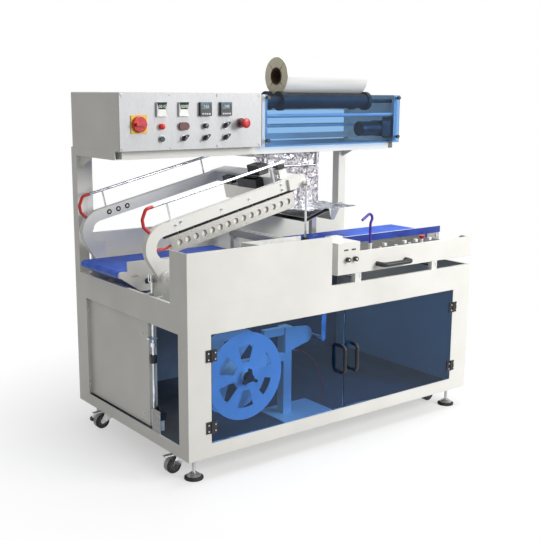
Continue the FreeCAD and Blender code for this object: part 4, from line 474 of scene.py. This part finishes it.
figures = []
upright = (math.radians(90), 0, 0)
readings = (("0015", -603, 39.6), ("0008", -492, 39.6), ("165", -380, 35.6), ("140", -271, 35.6))
for text, middle, front in readings:
    bpy.ops.object.text_add(location=(middle / 1000, front / 1000, 1.491), rotation=upright)
    words = bpy.context.object
    words.data.body = text
    words.data.align_x = "CENTER"
    words.data.size = 0.018
    words.data.extrude = 0.0002
    alone(words)
    bpy.ops.object.convert(target="MESH")
    bpy.ops.object.transform_apply(location=True, rotation=True, scale=True)
    figures.append(bpy.context.object)
lit = finish("display_figures", (214, 240, 214), 0.4)
shade(lit, speckle(lit, 3), (196, 230, 200), (226, 246, 226))
digits = together(figures)
digits.data.materials.clear()
digits.data.materials.append(lit)
fit(digits, "display_digits", "machine")

for control in ("speed_dial", "seal_selector", "feed_selector", "belt_selector", "heat_selector"):
    low, high = (p * 1000 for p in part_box(control))
    middle = (low + high) / 2
    tip = (middle.x + 1.1, low.y + 0.6, middle.z + 11)
    mark = block((middle.x - 1.1, low.y - 0.25, middle.z + 2), tip, white, 0.2)
    fit(mark, control + "_pointer", control)


# ------------------------------------------------------------------ film rack and cradle
# Rack of folded plates over the infeed, with two rubber covered cradle rollers,
# a geared motor at its right end and a tinted acrylic front held by four knobs.
rubber = mottled("black_rubber", (26, 26, 27), (46, 46, 47), 0.68, 0, 30, 0.7, 0.05, 0.5)
coat(cream, "film_rack")
patch("film_rack", black, (600, 70, 1320), (836, 166, 1440))
patch("film_rack", zinc, (17, 133, 1190), (356, 145, 1309))
coat(rubber, "front_cradle", "rear_cradle")
for cradle in ("front_cradle", "rear_cradle"):
    for left, end in ((-60, -38), (833, 860)):
        patch(cradle, polish, (left, 0, 1400), (end, 300, 1600))


def tinted(name, tint, passed, rough=0.03):
    """Clear coloured acrylic that also lets coloured light into what is behind it."""
    made = finish(name, tint, rough)
    tree = made.node_tree
    shader = tree.nodes["Principled BSDF"]
    shader.inputs["Transmission Weight"].default_value = 1.0
    shader.inputs["IOR"].default_value = 1.3
    relief(made, speckle(made, 180, detail=1), 0.12)
    light = tree.nodes.new("ShaderNodeLightPath")
    either = tree.nodes.new("ShaderNodeMath")
    either.operation = "MAXIMUM"
    tree.links.new(light.outputs["Is Shadow Ray"], either.inputs[0])
    tree.links.new(light.outputs["Is Diffuse Ray"], either.inputs[1])
    clear = tree.nodes.new("ShaderNodeBsdfTransparent")
    clear.inputs["Color"].default_value = pigment(*passed)
    mix = tree.nodes.new("ShaderNodeMixShader")
    tree.links.new(either.outputs[0], mix.inputs[0])
    tree.links.new(shader.outputs[0], mix.inputs[1])
    tree.links.new(clear.outputs[0], mix.inputs[2])
    tree.links.new(mix.outputs[0], tree.nodes["Material Output"].inputs["Surface"])
    return made


cover_blue = tinted("light_blue_acrylic", (140, 186, 232), (205, 224, 245))
coat(cover_blue, "rack_cover")
patch("rack_cover", black, (-60, 0, 1300), (860, 49.9, 1560))
patch("rack_cover", zinc, (-60, 56.2, 1300), (860, 70, 1560))


# ------------------------------------------------------------------ film roll
# Wound shrink film on a card core: glossy round the outside, with the edges of
# the windings showing as fine rings on each end.
wound = finish("wound_film", (236, 236, 233), 0.2)
shade(wound, speckle(wound, 30, (0.05, 1, 1)), (222, 222, 218), (240, 240, 238))
sheen(wound, speckle(wound, 40, (0.2, 1, 1)), 0.12, 0.26)
relief(wound, speckle(wound, 70, (0.3, 1, 1)), 0.5)
roll_low, roll_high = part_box("film_roll")
roll_axis = (roll_low + roll_high) / 2
windings = finish("film_windings", (170, 160, 128), 0.38)
tree = windings.node_tree
where = tree.nodes.new("ShaderNodeTexCoord")
centred = tree.nodes.new("ShaderNodeMapping")
centred.inputs["Location"].default_value = (0, -roll_axis.y, -roll_axis.z)
rings = tree.nodes.new("ShaderNodeTexWave")
rings.wave_type = "RINGS"
rings.rings_direction = "X"
rings.inputs["Scale"].default_value = 140
rings.inputs["Distortion"].default_value = 1.5
rings.inputs["Detail"].default_value = 3
tree.links.new(where.outputs["Object"], centred.inputs["Vector"])
tree.links.new(centred.outputs["Vector"], rings.inputs["Vector"])
shade(windings, rings.outputs["Fac"], (186, 178, 150), (226, 220, 200), 0.1, 0.9)
relief(windings, rings.outputs["Fac"], 0.12)
card = mottled("brown_card_core", (74, 56, 44), (104, 82, 64), 0.8, 0, 14, 0.8, 0.08, 0.3)
coat(wound, "film_roll")
for side in (-1, 1):
    patch("film_roll", windings, (100, 60, 1500), (640, 260, 1740), (side, 0, 0))
core = roll_axis * 1000
patch("film_roll", card, (100, core.y - 42, core.z - 42), (640, core.y + 42, core.z + 42))


# ------------------------------------------------------------------ film web and film on the former
# Thin shrink film, silvery and creased, hanging from the rack down to the
# forming plates, with a loose crumpled length laid over them.
crinkle = finish("crinkled_film", (206, 206, 204), 0.12, 0.35)
# Painted crease shade and painted glints: fine patches from dark grey to near white stand in for the light
# and shade on the creases of the clear film.
shade(crinkle, speckle(crinkle, 11, detail=5), (112, 108, 114), (226, 222, 226), 0.38, 0.6)
sheen(crinkle, speckle(crinkle, 30), 0.08, 0.22)
relief(crinkle, speckle(crinkle, 9, detail=3), 1.4)


def creased(width, length, across, down, start, cuts):
    """A thin sheet as a fine grid from a corner, in metres."""
    bpy.ops.object.select_all(action="DESELECT")
    bpy.ops.mesh.primitive_grid_add(x_subdivisions=cuts[0], y_subdivisions=cuts[1], size=1)
    piece = bpy.context.object
    across, down = Vector(across), Vector(down)
    for point in piece.data.vertices:
        point.co = Vector(start) + across * width * (point.co.x + 0.5) + down * length * (point.co.y + 0.5)
    return piece


def crumple(piece, way, depth, size, seed):
    way = Vector(way)
    for point in piece.data.vertices:
        spot = point.co / size + Vector((seed, seed * 0.7, 0))
        point.co += way * depth * (noise.noise(spot) + 0.5 * noise.noise(spot * 2.3))


def trim(piece, spot, way):
    """Cut a sheet off along a line and drop what lies on the side that way points to."""
    choose(piece, lambda face: True)
    bpy.ops.mesh.bisect(plane_co=Vector(spot) / 1000, plane_no=way, clear_outer=True)
    bpy.ops.object.mode_set(mode="OBJECT")


web_low, web_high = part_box("film_web")
web = creased(web_high.x - web_low.x, web_high.z - web_low.z, (1, 0, 0), (0, 0, 1),
              (web_low.x, (web_low.y + web_high.y) / 2, web_low.z), (84, 56))
trim(web, (80, 149, 1024), (-171, 0, -70))
trim(web, (10, 149, 1195), (-77, 0, -57))
crumple(web, (0, 1, 0), 0.004, 0.05, 3)
alone(web)
bpy.ops.object.shade_smooth()
web.data.materials.append(crinkle)
fit(web, "hanging_film", "machine")
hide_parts("film_web")

steel = brushed("brushed_steel", (150, 150, 148), (200, 200, 198), 0.3, 0)
coat(steel, "film_former")
# Painted shade and painted glints: the loose film's dark blue-grey to pale patches stand in for the shade
# under the clear film and the light on its crumples.
painted_shade_film = finish("loose_film", (120, 130, 146), 0.1, 0.3)
shade(painted_shade_film, speckle(painted_shade_film, 24), (62, 70, 86), (190, 198, 208))
sheen(painted_shade_film, speckle(painted_shade_film, 30), 0.06, 0.2)
relief(painted_shade_film, speckle(painted_shade_film, 14, detail=3), 1.4)
former_low, former_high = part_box("film_former")
loose = creased(0.34, 0.40, (1, 0, 0), (0, 1, 0), (0.082, -0.09, former_high.z + 0.006), (60, 70))
crumple(loose, (0, 0, 1), 0.0045, 0.04, 11)
crumple(loose, (1, 0, 0), 0.004, 0.06, 23)
alone(loose)
bpy.ops.object.shade_smooth()
loose.data.materials.append(painted_shade_film)
fit(loose, "loose_film_tail", "machine")


# ------------------------------------------------------------------ seal frame arms
# Two bent arms of folded plate in cream coat, joined over the far jaw; the
# rear arm carries three rubber grommets, the front arm its socket screws.
coat(cream, "front_arm", "rear_arm", "cross_arm")


def head(x, y, z):
    """Row millimetres of a point given along, across and up from the arms."""
    return (
        pivot.x * 1000 + x * math.cos(lean) - z * math.sin(lean), y,
        pivot.z * 1000 + x * math.sin(lean) + z * math.cos(lean),
    )


arm_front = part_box("front_arm")[0].y * 1000 + 27.5
rear_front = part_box("rear_arm")[0].y * 1000
grommets = []
for along in (90, 138, 186):
    ring = rod(head(along, rear_front - 2.5, 195), head(along, rear_front + 3, 195), 12, rubber, 1.0, 36)
    dish(ring, (0, -1, 0), 4, 1.8)
    plug = rod(head(along, rear_front - 1.6, 195), head(along, rear_front + 1, 195), 6, white, 0.6, 28)
    grommets += [ring, plug]
fit(together(grommets), "arm_grommets", "seal_frame")
arm_holes = ((96, 197), (124, 203), (330, 194), (480, 194), (664, 206), (664, 182))
spots = [head(x, arm_front, z) for x, z in arm_holes]
fit(scatter(screw(5, 4), spots, (0, -1, 0)), "arm_screws", "seal_frame")


# ------------------------------------------------------------------ guard rail and blade lead
# Bright bent steel rail round the seal frame, and the red sleeved lead that
# runs from the front arm's hook to the heated blade.
coat(polish, "guard_rail")
red_lead = mottled("red_lead_sleeving", (186, 28, 26), (214, 48, 40), 0.4, 0, 16, 0.8, 0.03, 0.4)


def hose(name, route, thickness):
    """A red hose or lead through points in millimetres, as one smooth line with a round section."""
    line = bpy.data.curves.new(name, "CURVE")
    line.dimensions = "3D"
    spline = line.splines.new("NURBS")
    spline.points.add(len(route) - 1)
    for spot, point in zip(route, spline.points):
        point.co = (spot[0] / 1000, spot[1] / 1000, spot[2] / 1000, 1)
    spline.order_u = 3
    spline.use_endpoint_u = True
    line.bevel_depth = thickness / 2
    line.bevel_resolution = 4
    line.use_fill_caps = True
    line.materials.append(red_lead)
    made = bpy.data.objects.new(name, line)
    bpy.context.collection.objects.link(made)
    return made


lead_y = arm_front + 15
lead_route = [head(x, lead_y, z) for x, z in ((-15, 118), (2, 121), (20, 114), (40, 112), (59, 118))]
lead = hose("blade_lead", lead_route, 0.010)
fit(lead, "blade_lead", "seal_frame")


# ------------------------------------------------------------------ knife guard, blade and jaws
# Perforated stainless guard that slides on the arm against a foam strip, the
# coated sealing blade behind it, and pale silicone pads along the jaws.
guard_steel = brushed("guard_stainless", (172, 169, 163), (212, 210, 205), 0.36, 0)
coat(guard_steel, "knife_guard")
blade_coat = mottled("blade_coat", (236, 235, 231), (250, 249, 246), 0.4, 0, 20, 2, 0.02, 0.3)
coat(blade_coat, "seal_blade")
foam = mottled("black_foam", (18, 18, 19), (40, 40, 41), 0.85, 0, 6, 1.6, 0.3, 0.5)
slope = Matrix(((math.cos(lean), 0, -math.sin(lean)), (0, 1, 0), (math.sin(lean), 0, math.cos(lean))))
under_arm = Matrix.Translation((pivot.x, 0, pivot.z)) @ slope.to_4x4()
strips = []
for start in range(34, 660, 78):
    strip = block((start, arm_front + 3, 157), (start + 70, arm_front + 17, 168.4), foam, 1.4)
    strip.data.transform(under_arm)
    strips.append(strip)
foam_strip = fit(together(strips), "guard_foam_strip", "seal_frame")
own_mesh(foam_strip)
pad_white = mottled("silicone_pad", (214, 214, 208), (236, 236, 231), 0.55, 0, 30, 1, 0.04, 0.6)
coat(cream, "seal_bed")
patch("seal_bed", steel, (-810, -240, 840), (10, 520, 885))
patch("seal_bed", pad_white, (-810, -240, 885), (10, 360, 925))


# ------------------------------------------------------------------ seal head fittings
# Black terminal box, solenoid block on a white mount, clamp knobs and the
# sleeve ends, bolted to the far end of the seal frame.
coat(black, "head_fittings")
red_sleeve = mottled("red_sleeve", (178, 24, 26), (206, 40, 38), 0.35, 0, 24, 0.8, 0.02, 0.4)
patch("head_fittings", white, (-99, -127, 1177), (-50, -55, 1221))
patch("head_fittings", zinc, (-130, -127, 1120), (-88, -75, 1196))
patch("head_fittings", red_sleeve, (-840, -179, 990), (-778, 407, 1109))
valve = block((-96, -112, 1220), (-56, -70, 1238), black, 1.2)
dish(valve, (0, -1, 0), 5, 1)
studs = scatter(screw(3.4, 3), [(-84, -100, 1238), (-68, -100, 1238)], (0, 0, 1))
fit(together([valve, studs]), "solenoid_block", "seal_frame")
box_lid = block((-136, 4, 1171), (-96, 134, 1176), black, 1.5)
dish(box_lid, (0, 0, 1), 6, 1.2)
fit(box_lid, "terminal_box_lid", "seal_frame")


# ------------------------------------------------------------------ pivots, drive and strut
# Bearing plates over the pivot shaft, the air cylinder with its rod and
# filter in the service bay, and the gas strut that carries the far end.
coat(cream, "hinge_brackets")
coat(zinc, "air_drive")
patch("air_drive", black, (-790, -158, 100), (-760, -128, 122))
patch("air_drive", black, (-790, -158, 218), (-760, -128, 236))
pale_bowl = mottled("regulator_body", (176, 178, 178), (204, 205, 204), 0.4, 0, 20, 1, 0.02, 0.4)
patch("air_drive", pale_bowl, (-803, -234, 150), (-765, -168, 214))
patch("air_drive", black, (-803, -234, 100), (-765, -168, 150))
patch("air_drive", black, (-803, -234, 214), (-765, -168, 260))
coat(polish, "drive_rod", "strut_rod")
patch("drive_rod", black, (-792, -160, 436), (-758, -124, 470))
coat(black, "strut_cylinder")
knob = rod((-733, arm_front - 17, 805), (-733, arm_front - 4, 805), 15, black, 2.5, 36)
dish(knob, (0, -1, 0), 5, 1.5)
fit(knob, "pivot_knob", "seal_frame")
gland = rod((-775, -143, 434), (-775, -143, 470), 15, black, 3, 32)
fit(gland, "drive_rod_joint", "drive_rod")


# ------------------------------------------------------------------ conveyors
# Blue urethane belts, smooth with a fine weave, running over bright drums in
# folded side plates.
belt_blue = mottled("blue_belt", (8, 78, 200), (18, 96, 222), 0.5, 0, 90, 1.1, 0.03, 0.3)
coat(belt_blue, "discharge_belt", "infeed_belt")
coat(polish, "discharge_drum", "infeed_drum")
coat(cream, "discharge_frame")


# ------------------------------------------------------------------ infeed carriage
# Folded carriage that slides on two bright rails, with a brushed steel tray
# along its front and a cream pod for the adjusting knobs.
coat(cream, "infeed_carriage")
patch("infeed_carriage", steel, (96, -470, 776), (850, -250, 867), (0, 0, 1))
patch("infeed_carriage", steel, (96, -456, 776), (850, -250, 864))
coat(polish, "carriage_rails")
for left, end in ((76, 114), (571, 609)):
    patch("carriage_rails", white, (left, -465, 727), (end, -435, 775))
    patch("carriage_rails", white, (left, 159, 727), (end, 190, 775))

navy = mottled("navy_rail_face", (22, 48, 136), (34, 66, 166), 0.4, 0, 60, 1, 0.02, 0.5)
orange = mottled("orange_plastic", (214, 82, 24), (236, 104, 38), 0.38, 0, 16, 1, 0.02, 0.4)
purple = mottled("purple_hose", (54, 28, 146), (76, 44, 178), 0.35, 0, 14, 1.4, 0.04, 0.4)
coat(white, "infeed_fittings")
patch("infeed_fittings", black, (190, -530, 780), (405, -461, 816))
patch("infeed_fittings", black, (10, -480, 828), (82, -461, 854))
patch("infeed_fittings", purple, (160, -412, 886), (240, -390, 1032))
patch("infeed_fittings", orange, (205, -414, 872), (229, -390, 888.9))
patch("infeed_fittings", orange, (256, -426, 845), (274, -408, 870))
patch("infeed_fittings", red, (540, -420, 874), (575, -384, 895))
patch("infeed_fittings", navy, (100, -276, 846), (832, -250, 898), (0, -1, 0))
centres = [rod((x, -479.4, 841), (x, -477, 841), 4.5, white, 0.5, 24) for x in (23, 68)]
fit(together(centres), "knob_centres", "carriage")
pod_slots = [block((x, -463.2, 880), (x + 24, -461, 886), black, 0.6) for x in (6, 50)]
fit(together(pod_slots), "pod_slots", "carriage")
clips = []
for x in (300, 430, 505, 600):
    clip = block((x, -412, 866), (x + 16, -396, 880), white, 1.5)
    dish(clip, (0, 0, 1), 3, 3)
    clips.append(clip)
fit(together(clips), "rail_clips", "carriage")


# ------------------------------------------------------------------ doors
# Two clear blue acrylic doors on black hinges, each with four pale screws, and
# a black D pull beside the joint.
door_blue = tinted("blue_acrylic", (116, 174, 236), (202, 224, 248))
coat(door_blue, "left_door", "right_door")
for door in ("left_door", "right_door"):
    patch(door, black, (-800, -520, 100), (850, -462, 700))
coat(black, "door_hinges")
screw_heights = (215, 241, 515, 541)
fixed_screws = [(x, -470, z) for x in (-713, 750) for z in screw_heights]
fit(scatter(screw(3, 1.4, white), fixed_screws, (0, -1, 0)), "hinge_screws", "machine")
for door, x in (("left_door", -680), ("right_door", 717)):
    leaf_screws = [(x, -470, z) for z in screw_heights]
    fit(scatter(screw(3, 1.4, white), leaf_screws, (0, -1, 0)), door + "_screws", door)


# ------------------------------------------------------------------ scrap reel and stand
# Pressed steel reel for the trimmed film, on a welded stand with its geared
# motor, and the sprung dancer arm that keeps the film taut.
reel_pale = mottled("reel_paint", (230, 232, 234), (246, 247, 248), 0.38, 0, 120, 1.4, 0.03, 0.8)
coat(reel_pale, "scrap_reel")
patch("scrap_reel", black, (-515, -430, 350), (-430, -403.5, 430))
coat(cream, "reel_stand")
patch("reel_stand", black, (-158, -240, 395), (-50, -140, 505))
coat(polish, "dancer_arm")


valve_body = block((-119, -245, 380), (-102, -221, 412), black, 1.5)
dish(valve_body, (0, -1, 0), 4, 1.2)
blue_fitting = rod((-102.5, -233, 396), (-96, -233, 396), 7, navy, 1.0)
nipple = rod((-97, -233, 396), (-89, -233, 396), 4.6, polish, 0.6)
fit(together([valve_body, blue_fitting, nipple]), "reel_valve", "machine")
hose_route = [(-92, -233, 396), (-72, -233, 394), (-30, -233, 378), (20, -233, 340), (62, -233, 285),
              (86, -233, 215), (88, -233, 150), (84, -233, 107)]
air_hose = hose("reel_hose", hose_route, 0.006)
fit(air_hose, "reel_hose", "machine")


# ------------------------------------------------------------------ feet and casters
# Adjustable feet with chromed stems and rubber pads, and four plated casters
# with pale treads and black dust rings.
coat(zinc, "base_fittings")
patch("base_fittings", rubber, (-900, -500, -2), (900, 520, 13))
patch("base_fittings", black, (-900, -500, 83), (900, 520, 101), (0, 0, -1))
tread = mottled("caster_tread", (150, 151, 152), (186, 187, 187), 0.55, 0, 20, 0.8, 0.04, 0.6)
hub = mottled("caster_hub", (196, 196, 192), (216, 216, 212), 0.4, 0, 20, 0.8, 0.02, 0.6)
chrome = mottled("caster_chrome", (190, 191, 194), (226, 227, 229), 0.22, 1.0, 20, 3, 0.02, 0.5)
hub_radius = 0.016
ring_radius = 0.026
for place_name in ("front_left", "front_right", "rear_left", "rear_right"):
    coat(chrome, place_name + "_fork")
    coat(tread, place_name + "_wheel")
    low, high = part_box(place_name + "_wheel")
    hub_at = (low + high) / 2
    wheel_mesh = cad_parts[place_name + "_wheel"].data
    wheel_mesh.materials.append(rubber)
    wheel_mesh.materials.append(hub)
    for face in wheel_mesh.polygons:
        away = face.center - hub_at
        across = away.x if high.y - low.y < high.x - low.x else away.y
        out = math.hypot(across, away.z)
        if out < hub_radius:
            face.material_index = 2
        elif out < ring_radius:
            face.material_index = 1
